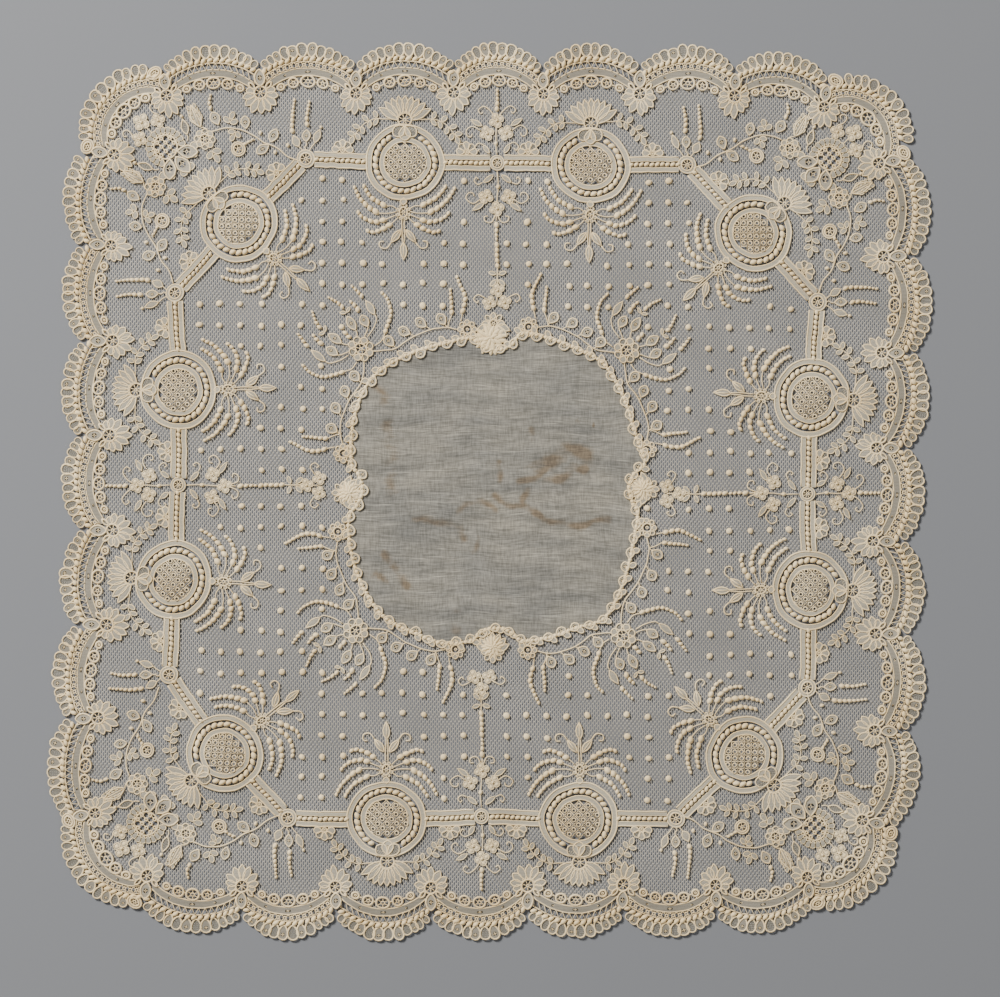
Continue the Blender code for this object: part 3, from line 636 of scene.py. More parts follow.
edge = Motif()
for i, station in enumerate(stations):
    count = CORNER_PETALS if station["corner"] else PETALS
    shares = (np.arange(count) + 0.5) / count
    crowded = shares - 0.2 * np.sin(2 * np.pi * shares) / (2 * np.pi)
    tips, facing = scallop(i, 0, 0, 0, crowded)
    long = 3.4 + 2.5 * np.sin(np.pi * shares) ** 0.7
    fuller = 1.02 - 0.2 * np.cos(2 * np.pi * shares)
    wide = PETAL_WIDE * fuller * (0.97 if station["corner"] else 1)
    ways = np.stack([np.cos(np.radians(facing)), np.sin(np.radians(facing))], 1)
    roots = tips - ways * long[:, None]
    turn = facing + hand.normal(0, 4, count)
    long, wide = long * hand.normal(1, 0.04, count), wide * hand.normal(1, 0.06, count)
    for kind, motif in enumerate((eyed_petal, sheer_petal)):
        mine = (np.arange(count) % 2 == kind) & clear_of_rings((roots + tips) / 2, 3.6)
        sizes = long[mine] / PETAL_LONG, wide[mine] / PETAL_WIDE
        lay(edge, motif, *roots[mine].T, turn[mine], *sizes, 0.05 * kind)
    rope, _ = scallop(i, 3.8, 0.8, 6.3, np.linspace(0, 1, 24))
    strand(edge, rope[clear_of_rings(rope, 2.7)], 2.75, 2.75, 0.15, 38, 0.7)
print("petals of the edge:", sum(CORNER_PETALS if s["corner"] else PETALS for s in stations))

# %% [markdown]
# ## Ladder, ribbon and ring chain
# Under the rope the lace is open: a zigzag of single threads in one scallop, a row of tiny rings on
# crossed legs in the next. Then comes a ribbon of close cloth between two cords, with small
# diamond openings, and last a chain of five spoked rings.


# %% Open ladder
def strip(motif, left, right, level=0.82, keep=None):
    """A layer of cloth between two lines, with some of its steps left open."""
    count = len(left)
    steps = np.arange(count - 1) if keep is None else np.flatnonzero(keep)
    quads = np.stack([steps, steps + 1, count + steps + 1, count + steps], 1)
    motif.parts["cloth"].add(np.c_[np.r_[left, right], np.full(2 * count, level)], [quads])


def ring_strip(motif, outer, inner):
    """A closed strip of cloth between two loops of equal count."""
    strip(motif, np.r_[outer, outer[:1]], np.r_[inner, inner[:1]])


# How far each line lies below the notch, beside it, and below the top of the arc
LADDER_OUTER = (5.2, 1.6, 7.4)
LADDER_INNER = (8.2, 2.2, 10.1)
RIBBON_INNER = (10.0, 3.6, 12.9)
RING_LINE = (10.9, 5.8, 15.4)
ring_cell = Motif()
tube(ring_cell, circle(0, 0, 0.6, 8), 0.42, 0.5, closed=True, sides=4)
for way in ((1.15, 1.2), (1.15, -1.2), (-1.15, 1.2), (-1.15, -1.2)):
    near = np.array(way) * 0.42
    tube(ring_cell, [near, way], 0.34, 0.52, sides=3)

for i, station in enumerate(stations):
    cells = 17 if station["corner"] else 14
    fine = np.linspace(0, 1, 22)
    for line in (LADDER_OUTER, LADDER_INNER):
        tube(edge, scallop(i, *line, fine)[0], 0.5, 0.45, sides=4)
    if station["open"]:
        top, _ = scallop(i, *LADDER_OUTER, (np.arange(cells) + 0.5) / cells)
        bottom, _ = scallop(i, *LADDER_INNER, np.arange(cells + 1) / cells)
        zigzag = np.empty((2 * cells + 1, 2))
        zigzag[0::2], zigzag[1::2] = bottom, top
        tube(edge, zigzag, 0.42, 0.85, sides=3)
    else:
        shares = (np.arange(cells) + 0.5) / cells
        top, facing = scallop(i, *LADDER_OUTER, shares)
        bottom, _ = scallop(i, *LADDER_INNER, shares)
        middle = (top + bottom) / 2
        lay(edge, ring_cell, *middle.T, facing, base=0.3)

# %% Ribbon and its diamond openings
OPENINGS = (0.24, 0.5, 0.76)
small_cross = Motif()
tube(small_cross, circle(0, 0, 0.24, 6), 0.22, 0.6, closed=True, sides=3)
for way in ((0.8, 0), (-0.8, 0), (0, 0.5), (0, -0.5)):
    tube(small_cross, [np.array(way) * 0.3, way], 0.2, 0.6, sides=3)

for i, station in enumerate(stations):
    shares = np.linspace(0, 1, 33)
    outer, facing = scallop(i, *LADDER_INNER, shares)
    inner, _ = scallop(i, *RIBBON_INNER, shares)
    lanes = [outer + (inner - outer) * s for s in (0.1, 0.34, 0.66, 0.95)]
    centres = (shares[:-1] + shares[1:]) / 2
    shut = np.all([abs(centres - opening) > 0.018 for opening in OPENINGS], axis=0)
    for lane, keep in enumerate((None, shut, None)):
        strip(edge, lanes[lane], lanes[lane + 1], keep=keep)
    tube(edge, inner[::2], 0.5, 0.45, sides=4)
    for opening in OPENINGS:
        k = int(round(opening * 32))
        place = (outer[k] + inner[k]) / 2
        lay(edge, small_cross, *place, facing[k] + 90)

# %% Ring chain
# Place along the scallop, half length, half width and number of spokes
RINGS = (
    (0.10, 1.4, 1.25, 0), (0.29, 2.05, 1.9, 5), (0.5, 2.65, 2.25, 6),
    (0.71, 2.05, 1.9, 5), (0.90, 1.4, 1.25, 0),
)
ring_motifs = []
for _, long, wide, spokes in RINGS:
    motif = Motif()
    spoked_eye(motif, 0, 0, long, spokes, 0.76, wide, 0.3)
    ring_motifs.append(motif)
for i, station in enumerate(stations):
    places, facing = scallop(i, *RING_LINE, [ring[0] for ring in RINGS])
    for place, way, motif in zip(places, facing, ring_motifs):
        size = 1.12 if station["corner"] else 1.0
        lay(edge, motif, *place, way - 90 + hand.normal(0, 5), size * hand.normal(1, 0.03))
    for k in range(4):
        step = places[k + 1] - places[k]
        step /= np.linalg.norm(step)
        ends = [places[k] + step * RINGS[k][1], places[k + 1] - step * RINGS[k + 1][1]]
        tube(edge, ends, 0.5, 0.5, sides=4)

# %% [markdown]
# ## Rosettes
# A rosette has a spoked eye and nine pointed petals that lean over the net, the middle one the
# longest. Behind the eye, towards the notch, stands one rounded petal with an eye of its own, and
# at the corners there is an extra ring beside it. Six uneven versions take turns round the edge.

# %% Rosettes
def rosette(uneven):
    """Nine leaning petals round a spoked eye, each a bit different when made by hand."""
    motif = Motif()
    spoked_eye(motif, 0, 0, 2.45, 7, 0.7, centre=0.2)
    for k in range(9):
        turn = (k - 4) * 25.5 + hand.normal(0, 2 * uneven)
        reach = (8.9, 8.1, 7.6, 7.0, 6.0)[abs(k - 4)] * (1 + hand.normal(0, 0.05 * uneven))
        shape = petal(reach - 2.2, 3.2, "cloth", 1.05, 0.72, cord=0.5)
        lay(motif, shape, *pointing(turn) * 2.2, turn, base=0.05 * (k % 2))
    lay(motif, petal(6.9, 4.7, "cloth", 1.0, 0.6, eye=(0.5, 1.0)), -2.3, 0, 180, base=0.2)
    for side in (1, -1):
        lay(motif, petal(4.0, 2.2, "sheer", 1.0, 0.7), -1.2, 1.9 * side, 180 - 42 * side)
    return motif


rosettes = [rosette(1.0) for _ in range(6)]
blossoms = Motif()
for i, station in enumerate(stations):
    size = hand.normal(1, 0.02)
    facing = angle_of(-station["out"]) + hand.normal(0, 2)
    lay(blossoms, rosettes[i % 6], *station["eye"], facing, size, size * (-1) ** (i // 6), 0.12)

cusp_ring = Motif()
spoked_eye(cusp_ring, 0, 0, 2.0, 6, 0.7, 1.45, 0.34)
tube(cusp_ring, circle(0, 0, 2.95, 14, 2.35), 0.62, 0.45, closed=True, sides=4)
ring_strip(cusp_ring, circle(0, 0, 2.8, 14, 2.2), circle(0, 0, 2.05, 14, 1.5))
for x, y, turn in CUSP_RINGS:
    lay(blossoms, cusp_ring, x, y, turn, base=0.3)
edge_pieces = dress(edge, "scalloped_edge", "scalloped_edge")
edge_pieces += dress(blossoms, "edge_rosettes", "scalloped_edge", light_cloth)

# %% [markdown]
# ## The band and its medallions
# An eight-sided band divides the lace into an inner and an outer field. It is two strips of close
# cloth with a row of padded knots between them. Twelve round medallions sit on it, and a spoked eye
# marks each corner and each mid-side. The table goes clockwise from the top left corner.

# %% Places of the band
BAND = (
    ("knot", -73.8, 132.6), ("medallion", -34.5, 131.3), ("eyelet", 2.4, 131.3),
    ("medallion", 39.8, 130.2), ("knot", 78.2, 130.4), ("medallion", 105.1, 103.1),
    ("knot", 130.5, 75.7), ("medallion", 128.0, 37.2), ("eyelet", 126.4, -1.0),
    ("medallion", 127.6, -39.6), ("knot", 126.3, -78.5), ("medallion", 101.3, -105.6),
    ("knot", 73.8, -130.8), ("medallion", 35.2, -131.4), ("eyelet", -3.7, -130.2),
    ("medallion", -41.6, -131.3), ("knot", -81.0, -130.8), ("medallion", -106.6, -104.8),
    ("knot", -128.6, -73.7), ("medallion", -126.8, -35.5), ("eyelet", -124.9, 2.2),
    ("medallion", -124.9, 40.4), ("knot", -126.2, 79.0), ("medallion", -100.7, 107.0),
)
places = []
for i, (kind, x, y) in enumerate(BAND):
    here = np.array((x, y))
    before, after = np.array(BAND[i - 1][1:]), np.array(BAND[(i + 1) % len(BAND)][1:])
    places.append((kind, here, angle_of(before - here), angle_of(after - here)))

# %% Band straights
HALF_BAND = 2.95
STARTS_AT = {"medallion": 15.2, "knot": 3.3, "eyelet": 2.8}
band = Motif()
for i, (kind, here, back, on) in enumerate(places):
    next_kind, there = places[(i + 1) % len(places)][:2]
    ahead = pointing(on)
    aside = np.array([-ahead[1], ahead[0]])
    count = 14
    ends = here + ahead * STARTS_AT[kind], there - ahead * STARTS_AT[next_kind]
    middle = np.linspace(*ends, count) + aside * hand.normal(0, 0.06, count)[:, None]
    for side in (1, -1):
        tube(band, middle + aside * side * HALF_BAND, 0.55, sides=4)
        tube(band, middle + aside * side * 1.28, 0.34, sides=4)
        strip(band, middle + aside * side * 2.85, middle + aside * side * 1.3)
    strand(band, middle, 2.2, 2.2, 0.05, 30, 0.76)

# %% Medallion
medallion = Motif()
FLATTER = 0.955


def hoop(radius, count=44):
    """A loop that is nearly round, as loops laid by hand are."""
    turns = 2 * np.pi * np.arange(count) / count
    reach = radius * (1 + 0.009 * np.sin(3 * turns + 1) + 0.007 * np.sin(7 * turns))
    return np.stack([reach * FLATTER * np.cos(turns), reach * np.sin(turns)], 1)


def turned_45(points, way):
    """Points turned by half a right angle, to the left with 1 and to the right with -1."""
    x, y = points.T
    return np.stack([x - way * y, y + way * x], 1) / math.sqrt(2)


def lattice_lines(loop, offsets):
    """Straight threads, both ways, from side to side of a loop."""
    lines = []
    for axis in (0, 1):
        for offset in offsets:
            ends = crossings(loop, offset, axis)
            if len(ends) == 2:
                line = np.full((2, 2), offset)
                line[:, axis] = ends
                lines.append(line)
    return lines


def grid_places(columns, ranks):
    return np.stack(np.meshgrid(columns, ranks), -1).reshape(-1, 2)


for radius, width in ((15.6, 0.6), (13.75, 0.42), (10.1, 0.42), (8.5, 0.5)):
    tube(medallion, hoop(radius), width, closed=True, sides=4)
ring_strip(medallion, hoop(15.4), hoop(13.9))
ring_strip(medallion, hoop(9.95), hoop(8.65))
around = np.radians(np.linspace(27, 333, 60))
bead_line = np.stack([11.9 * FLATTER * np.cos(around), 11.9 * np.sin(around)], 1)
strand(medallion, bead_line, 2.75, 2.75, 0.1, 28, 0.76)
lay(medallion, petal(3.0, 3.0, "cloth", 1.0, 0.8, cord=0.5), -14.0, 0, 180, base=0.05)
for turn, fill in ((-46, "sheer"), (46, "sheer"), (0, "cloth")):
    eye = (0.55, 0.75) if fill == "cloth" else None
    leaf_shape = petal(6.2, 5.2, fill, 1.3, 0.65, eye=eye, cord=0.5)
    lay(medallion, leaf_shape, 14.6, 0, 180 + turn, base=0.3)

# %% Filling of the medallion
LATTICE = 2.65
cell = Motif()
tube(cell, circle(0, 0, 0.78, 8), 0.46, 0.7, closed=True, sides=3)
for line in lattice_lines(turned_45(hoop(8.3, 40), -1), np.arange(-3, 4) * LATTICE):
    tube(medallion, turned_45(line, 1), 0.32, 0.6, sides=3)
steps = (np.arange(-3, 3) + 0.5) * LATTICE
grid = turned_45(grid_places(steps, steps), 1)
grid = grid[(grid[:, 0] / 7.4) ** 2 + (grid[:, 1] / 7.8) ** 2 < 1]
lay(medallion, cell, *grid.T)
print("lattice cells in a medallion:", len(grid))

# %% Eyes on the band
band_eye = Motif()
spoked_eye(band_eye, 0, 0, 2.35, 8, 0.6, centre=0.22)
tube(band_eye, circle(0, 0, 3.5, 16), 0.55, closed=True)
ring_strip(band_eye, circle(0, 0, 3.4, 16), circle(0, 0, 2.5, 16))
for kind, here, back, on in places:
    outward = back - ((back - on) % 360) / 2
    size = 0.84 if kind == "eyelet" else 1.0
    lay(band, medallion if kind == "medallion" else band_eye, *here, outward, size, size, 0.1)
band_pieces = dress(band, "medallion_band", "medallion_band", band_cloth)

# %% [markdown]
# ## Outer field: fans, ferns and shells
# Outside every medallion a flower spreads nine long petals like a fan. A fern runs along each side
# of it: a thin stem with pairs of round leaflets. Small half flowers like shells lean on the band.
# One half of such a motif is drawn, and the other half is its mirror image.


# %% Small helpers for flowers
def both_sides(half):
    whole = Motif()
    lay(whole, half, 0, 0)
    lay(whole, half, 0, 0, wide=-1.0)
    return whole


def leaf(motif, root, tip, width, base=0.0, **kind):
    way = np.subtract(tip, root)
    lay(motif, petal(float(np.linalg.norm(way)), width, **kind), *root, angle_of(way), base=base)


def stem(motif, points, width=0.42, count=12):
    tube(motif, curve(points, count), width, 0.5, sides=4)


def flower(petals, reach, width, eye=0.0, first=0.0, fills=("cloth",), spokes=5, cord=0.48):
    """Rounded petals all round a spoked eye, or round a knot if there is no eye."""
    motif = Motif()
    root = max(eye, 0.4)
    for k in range(petals):
        turn = first + 360 * k / petals
        shape = petal(reach - root, width, fills[k % len(fills)], 1.15, 0.65, cord=cord, count=10)
        lay(motif, shape, *pointing(turn) * root, turn)
    if eye:
        spoked_eye(motif, 0, 0, eye, spokes, 0.6, centre=0.26)
    else:
        lay(motif, KNOT, 0, 0, 0, 1.3, 1.3, 0.1)
    return motif


def trefoil(motif, root, heading, size=1.0):
    """Three small leaves on a short stalk."""
    for turn in (-62, 62, 0):
        shape = petal(2.7 * size, 1.9 * size, "cloth", 1.1, 0.5, cord=0.42, count=10)
        start = np.asarray(root) + pointing(heading) * (0.6 if turn else 1.6) * size
        lay(motif, shape, *start, heading + turn)


SMALL = {"cord": 0.42, "count": 10, "sharp": 0.6, "fullness": 1.05}

# %% Fan flower with its ferns
fan = Motif()
spoked_eye(fan, 0, 0, 2.7, 8, 0.6, centre=0.2)
for k in range(-4, 5):
    tip = pointing(16.2 * k) * (9.9 + 0.11 * k * k)
    root = pointing(24 * k) * 2.5
    leaf(fan, root, tip, 3.2, 0.05 * (k % 2), fullness=0.95, sharp=0.75, cord=0.5)
FERN_STEM = (
    (0.3, 3.8), (0.3, 8.8), (0.5, 12.1), (-0.8, 15.4), (-3.3, 18.2), (-5.6, 19.9), (-6.2, 20.4),
)
fern = Motif()
stem(fern, FERN_STEM, 0.36, 14)
along = curve(FERN_STEM, 60)
for share in (0.24, 0.42, 0.6, 0.77):
    k = int(share * 59)
    heading = angle_of(along[k + 1] - along[k - 1])
    for side in (1, -1):
        start = along[k + (1 if side > 0 else 3)]
        leaf(fern, start, start + pointing(heading + 63 * side) * 3.3, 2.1, **SMALL)
leaf(fern, along[-3], along[-3] + pointing(heading + 10) * 3.6, 2.2, **SMALL)
lay(fan, both_sides(fern), 0, 0)

shell = Motif()
spoked_eye(shell, 0, 0, 0.85, 0, 0.45)
for k in range(5):
    turn = (k - 2) * 43
    round_petal = petal(3.5, 3.0, "sheer" if k % 2 else "cloth", 1.35, 0.55, cord=0.46)
    lay(shell, round_petal, *pointing(turn) * 0.85, turn, base=0.05 * (k % 2))

# %% Strands at the corners of the band
corner_knots = Motif()
leaf(corner_knots, (4.7, 2.6), (9.3, 5.2), 3.4, fullness=0.9, cord=0.46)
strand(corner_knots, curve([(10.2, 5.4), (16, 5.7), (23.6, 5.0)], 12), 2.4, 1.4)
eyed = {"sharp": 0.8, "eye": (0.5, 0.7), "cord": 0.5}
leaf(corner_knots, (6.5, -0.2), (11.8, -0.2), 3.7, fullness=1.1, **eyed)
strand(corner_knots, curve([(12.9, -0.4), (18, -0.2), (23.2, -1.0)], 12), 2.5, 1.4)
leaf(corner_knots, (6.2, -3.5), (12.2, -5.6), 3.0, fullness=0.95, cord=0.46)
lay(corner_knots, KNOT, 12.9, -5.9, 0, 1.6, 1.4)
stem(corner_knots, [(3.4, 1.4), (4.7, 2.6)])
stem(corner_knots, [(3.6, 0), (4.6, 0.4), (5.4, -0.3), (6.5, -0.2)])
stem(corner_knots, [(3.4, -1.4), (5.0, -2.4), (6.2, -3.5)])

# %% Stems with florets and curls, outer and inner
floret5 = flower(4, 3.1, 3.0, first=20, fills=("padded",), cord=0.4)


def stem_flowers(near_leaf, florets, last, curls):
    """Half of a mid-side stem: a leaf, a floret with its leaf, and curled tendrils."""
    half = Motif()
    leaf(half, *near_leaf, 2.1, **SMALL)
    lay(half, floret5, *florets)
    leaf(half, *last, 2.2, fullness=0.85, cord=0.42)
    for path in curls:
        stem(half, path, 0.42, 16)
    return half


outer_stem = both_sides(
    stem_flowers(
        ((3.6, 3.0), (7.2, 5.2)),
        (11.7, 3.8),
        ((14.6, 5.6), (17.4, 10.4)),
        (
            ((7.2, 5.0), (7.8, 7.2), (6.2, 8.8), (4.8, 7.8), (5.6, 7.0)),
            ((12.8, 6.2), (14.6, 9.4), (13.2, 12.0), (10.9, 11.8), (10.4, 10.2), (11.6, 9.8)),
            ((18.2, 1.0), (20.6, 2.6), (22.4, 5.2), (21.0, 7.4), (19.4, 6.4), (20.2, 5.6)),
        ),
    )
)
stem(outer_stem, [(3.4, 0), (7.6, 0.3), (12, 0), (15, 0)])
lay(outer_stem, floret5, 16.6, 0)
lay(outer_stem, KNOT, 7.6, 0.3, 0, 2.0, 1.6)
strand(outer_stem, [(20.3, 0), (28.8, 0)], 2.4, 1.5)
inner_stem = both_sides(
    stem_flowers(
        ((4.7, 1.6), (7.9, 5.6)),
        (13.5, 4.5),
        ((15.9, 4.8), (19.4, 9.9)),
        (
            ((7.9, 5.8), (8.6, 7.8), (7.2, 9.2), (5.8, 8.4), (6.6, 7.6)),
            ((14.3, 6.3), (16.3, 9.4), (14.4, 12.3), (12.2, 11.4), (12.2, 9.6), (13.4, 9.2)),
            ((20.6, 0.4), (23.6, 2.0), (23.4, 4.4), (21.6, 4.9), (21.3, 3.4)),
        ),
    )
)
stem(inner_stem, [(3.4, 0), (9.5, 0.3), (14, 0), (18, 0), (23, 0)])
lay(inner_stem, floret5, 18.3, 0)
lay(inner_stem, KNOT, 9.5, 0.2, 0, 2.2, 1.8)
strand(inner_stem, [(23.6, 0), (30.8, 0)], 2.6, 1.4)
strand(inner_stem, [(31.8, 0), (41.4, 0)], 2.2, 2.3)
stem(inner_stem, [(41, 0), (45, 0), (56, 0)])
pair = Motif()
leaf(pair, (44.6, 0.4), (43.6, 3.6), 1.9, **SMALL)
leaf(pair, (46.6, 0.4), (49.4, 3.0), 1.9, **SMALL)
lay(pair, floret5, 56.0, 3.0, 0, 0.95)
stem(pair, [(54, 4.6), (52.6, 7.6), (54.4, 9.2), (56, 7.8), (55, 7.2)], 0.42, 14)
lay(inner_stem, both_sides(pair), 0, 0)
lay(inner_stem, floret5, 51.0, 0, 0, 0.95)

# %% [markdown]
# ## Corner bouquets
# The richest motif stands in each corner: a rose with a lattice eye, two small roses, three
# florets, serrated leaves, and on both sides a vine that grows from the band's corner. Distances
# are ahead of the rose's middle, towards the handkerchief's corner, and to its side.

# %% Rose
rose = Motif()
EYE_AT, EYE = (2.9, 0.0), 4.75
tube(rose, circle(*EYE_AT, EYE, 24), 0.62, 0.55, closed=True)
rose.eyes.append((*EYE_AT, EYE))
steps = np.arange(-1.5, 2) * 2.35
for line in lattice_lines(circle(0, 0, EYE, 28), steps):
    tube(rose, line + np.array(EYE_AT), 0.38, 0.5, sides=3)
grid = grid_places(steps, steps)
grid = grid[np.hypot(*grid.T) < 4.3]
small_ring = Motif()
tube(small_ring, circle(0, 0, 0.62, 8), 0.5, 0.55, closed=True, sides=4)
lay(rose, small_ring, *(grid + np.array(EYE_AT)).T)
for turn in np.linspace(-122, 122, 15):
    lobe = petal(3.3, 2.7, "cloth", 1.4, 0.5, cord=0.4, count=10)
    root = np.array(EYE_AT) + pointing(turn) * (EYE + 0.1)
    lay(rose, lobe, *root, turn)
big_petal = petal(8.6, 5.6, "cloth", 1.1, 0.75, eye=(0.45, 1.5))
for ahead, side, long in ((-6.2, 8.6, 3.9), (-10.6, 0.0, 4.1), (-6.2, -8.6, 3.9)):
    turn = angle_of((ahead - 1.0, side - side * 0.2))
    side_petal = petal(long, 3.4, "cloth", 1.1, 0.6, cord=0.44)
    for lean in (-50.4, 50.4):
        lay(rose, side_petal, ahead * 0.76, side * 0.76, turn + lean)
    lay(rose, big_petal, ahead * 0.24, side * 0.24, turn, base=0.15)

# %% Vine, leaves and buds beside the rose
small_rose = flower(8, 4.4, 2.9, eye=1.9, fills=("sheer", "cloth"), spokes=6)
half = Motif()
lay(half, small_rose, -5.7, 13.7, 45)
VINE = (
    (-5.4, 18.0), (-7.8, 22.6), (-11.5, 26.2), (-17.1, 28.8),
    (-22.6, 30.0), (-28.0, 32.3), (-33.6, 33.0), (-38.9, 35.4),
)
stem(half, VINE, 0.5, 34)
stem(half, [(-3.5, 17.2), (-2.0, 16.6), (-1.1, 15.8)])
serrated = Motif()
leaf(serrated, (0, 0), (10, 0), 4.4, fullness=0.8, rib=True)
for k in range(4):
    for side in (1, -1):
        start = (2.2 + 1.7 * k, 0.9 * side)
        leaf(serrated, start, (4.8 + 1.75 * k, (2.5 - 0.35 * k) * side), 1.7, 0.1, **SMALL)
lay(half, serrated, -1.1, 15.8, angle_of((9.6, 3.2)))
leaf(half, (0.2, 9.6), (6.4, 12.8), 3.3, fullness=0.9, fill="sheer", cord=0.5)
lay(half, KNOT, 7.2, 13.2, 0, 1.7, 1.5)
stem(half, [(-1.5, 8.0), (-0.6, 9.2), (0.2, 9.6)])
leaf(half, (-5.3, 21.9), (0.5, 23.3), 4.2, fullness=1.15, sharp=0.75, eye=(0.55, 0.8), cord=0.5)
strand(half, curve([(1.2, 23.7), (4.0, 25.0), (6.2, 28.0)], 10), 2.2, 1.3)
trefoil(half, (-8.0, 25.0), 60, 1.25)
trefoil(half, (-11.6, 25.6), 250, 1.15)
trefoil(half, (-10.4, 12.6), 192, 1.4)
leaf(half, (-14.0, 28.6), (-9.6, 31.8), 3.9, fullness=1.1, sharp=0.7, eye=(0.5, 0.9), cord=0.5)
stem(half, [(-19.6, 28.4), (-18.6, 26.0), (-17.9, 23.8)])
ringed = flower(0, 1, 1, eye=1.95, spokes=6)
tube(ringed, circle(0, 0, 2.75, 18), 0.62, closed=True)
ring_strip(ringed, circle(0, 0, 2.6, 18), circle(0, 0, 2.05, 18))
lay(half, ringed, -17.6, 20.9)
leaf(half, (-24.8, 32.0), (-22.4, 37.2), 4.2, fullness=1.1, sharp=0.7, eye=(0.5, 0.95), cord=0.5)
leaf(half, (-25.0, 30.8), (-23.8, 25.0), 4.2, fullness=1.1, sharp=0.7, eye=(0.5, 0.95), cord=0.5)
lay(half, KNOT, (-28.8, -30.4, -19.2), (30.6, 36.0, 31.6), 40, 2.0, 1.6)
strand(half, [(-17.8, 23.6), (-18.8, 27.6)], 1.9, 1.5)
lay(half, floret5, 12.4, 5.2)
stem(half, [(14.3, 7.0), (16.4, 5.9), (18.4, 6.2), (19.0, 7.8), (17.6, 8.9), (16.6, 7.8)], 0.46, 16)
stem(half, [(9.6, 3.6), (11.0, 4.5)])
bouquet = both_sides(half)
lay(bouquet, rose, 0, 0)
lay(bouquet, floret5, 16.7, 0, 0, 1.15)
stem(bouquet, [(10.4, 0), (14.6, 0)])

# %% Lay the outer field
ROSES = ((-128.1, 135.3), (133.4, 131.2), (127.6, -132.7), (-135.8, -131.1))
outer = Motif()
for kind, here, back, on in places:
    outward = back - ((back - on) % 360) / 2
    if kind == "medallion":
        lay(outer, fan, *(here + pointing(outward) * 16.9), outward + hand.normal(0, 1.5), base=0.1)
        for along, mirror in ((on, -1), (back, 1)):
            ahead = pointing(along)
            aside = np.array([ahead[1], -ahead[0]]) * mirror
            lay(outer, shell, *(here + ahead * 24.8 + aside * 4.3), angle_of(aside))
    if kind == "eyelet":
        lay(outer, outer_stem, *here, 90 * round(outward / 90))
    if kind == "knot":
        facing = 90 * round(outward / 90)
        side_follows = abs(math.sin(math.radians(on - facing))) > 0.95
        lay(outer, corner_knots, *here, facing, wide=1.0 if side_follows else -1.0)
for x, y in ROSES:
    lay(outer, bouquet, x, y, angle_of((x, y)))
outer_pieces = dress(outer, "outer_field", "outer_net", light_cloth)

# %% [markdown]
# ## Inner field: sprays
# Inside every medallion a small flower throws out four curved strands of padded knots on each
# side, like a fountain, and two curled leaves and a middle leaf hang from it on a double stem.

# %% Spray
half = Motif()
SPRAYS = (
    ((-2.5, 6.9), (-3.9, 10.0), (-5.6, 12.8), (-8.1, 15.0), (-10.8, 16.7)),
    ((0.3, 10.0), (-1.4, 13.3), (-3.9, 16.4), (-6.7, 18.6), (-10.0, 20.3)),
    ((2.8, 6.9), (3.9, 10.6), (3.3, 14.2), (1.7, 16.9), (-0.3, 18.6)),
    ((4.4, 4.6), (6.1, 6.9), (7.5, 10.0), (8.1, 12.8), (6.9, 15.6)),
)
ROOTS = (
    ((-1.2, 2.4), (-2.5, 4.6), (-2.5, 6.9)),
    ((-0.3, 2.8), (0.5, 6.4), (0.3, 10.0)),
    ((0.9, 2.7), (1.9, 4.8), (2.8, 6.9)),
    ((2.0, 2.0), (3.3, 3.2), (4.4, 4.6)),
)
for line, root in zip(SPRAYS, ROOTS):
    strand(half, curve(line, 24), 3.0, 1.7)
    stem(half, root, 0.38, 6)
stem(half, [(3.2, 0.5), (8.0, 0.5), (12.2, 0.3)], 0.42)
leaf(half, (6.9, 1.0), (12.4, 5.0), 3.0, fullness=0.85, cord=0.5, rib=True)
stem(half, [(12.2, 4.8), (14.4, 6.8), (14.0, 9.2), (11.9, 9.4), (11.6, 7.6)], 0.5, 14)
spray = both_sides(half)
leaf(spray, (11.9, 0), (19.4, 0), 3.1, fullness=0.85, cord=0.5, rib=True)
spoked_eye(spray, 0, 0, 2.1, 6, 0.6, wide=1.6, centre=0.3)
tiny_petal = petal(1.5, 1.7, "cloth", 1.3, 0.6, cord=0.42, count=8)
for k in range(8):
    turn = 45 * k + 22.5
    lay(spray, tiny_petal, *pointing(turn) * (1.9, 1.6), turn)
leaf(spray, (-2.2, 0), (-4.2, 0), 1.8, **SMALL)

# %% [markdown]
# ## The rim round the linen
# The linen's edge is hidden by a rope of padded knots and tiny eyelet buds. A thin vine with more
# buds runs beside it from flower to flower. The corner flowers send long strands out over the net,
# and a heavy flower made of padded petals hides the joint in the middle of each side.

# %% Rim flowers and their bouquets
RIM_FLOWERS = (
    ("middle", 1.2, 66.8), ("small", 15.2, 65.5), ("corner", 54.2, 56.0), ("small", 62.2, 16.7),
    ("middle", 62.9, 0.7), ("small", 62.4, -14.9), ("corner", 52.9, -57.8), ("small", 14.6, -63.8),
    ("middle", 0.6, -64.2), ("small", -14.4, -63.2), ("corner", -54.0, -55.7), ("small", -61.0, -16.3),
    ("middle", -59.1, -0.5), ("small", -59.1, 15.1), ("corner", -52.0, 56.7), ("small", -9.3, 64.7),
)
eye_bud = petal(5.3, 4.3, "cloth", 1.2, 0.65, eye=(0.55, 0.95), cord=0.52)
half = Motif()
strand(half, curve([(-2.0, 11.2), (2.0, 18.3), (7.2, 21.3), (11.0, 21.4)], 20), 2.4, 1.6)
stem(half, [(-2.8, 4.9), (-3.2, 8.2), (-2.0, 11.2)])
leaf(half, (6.1, 13.6), (13.4, 14.8), 3.0, fullness=0.9, cord=0.46)
strand(half, curve([(14.8, 14.8), (18.8, 14.6), (22.1, 14.2)], 8), 2.3, 1.3)
stem(half, [(1.6, 5.4), (2.6, 9.6), (4.5, 12.8), (6.1, 13.6)])
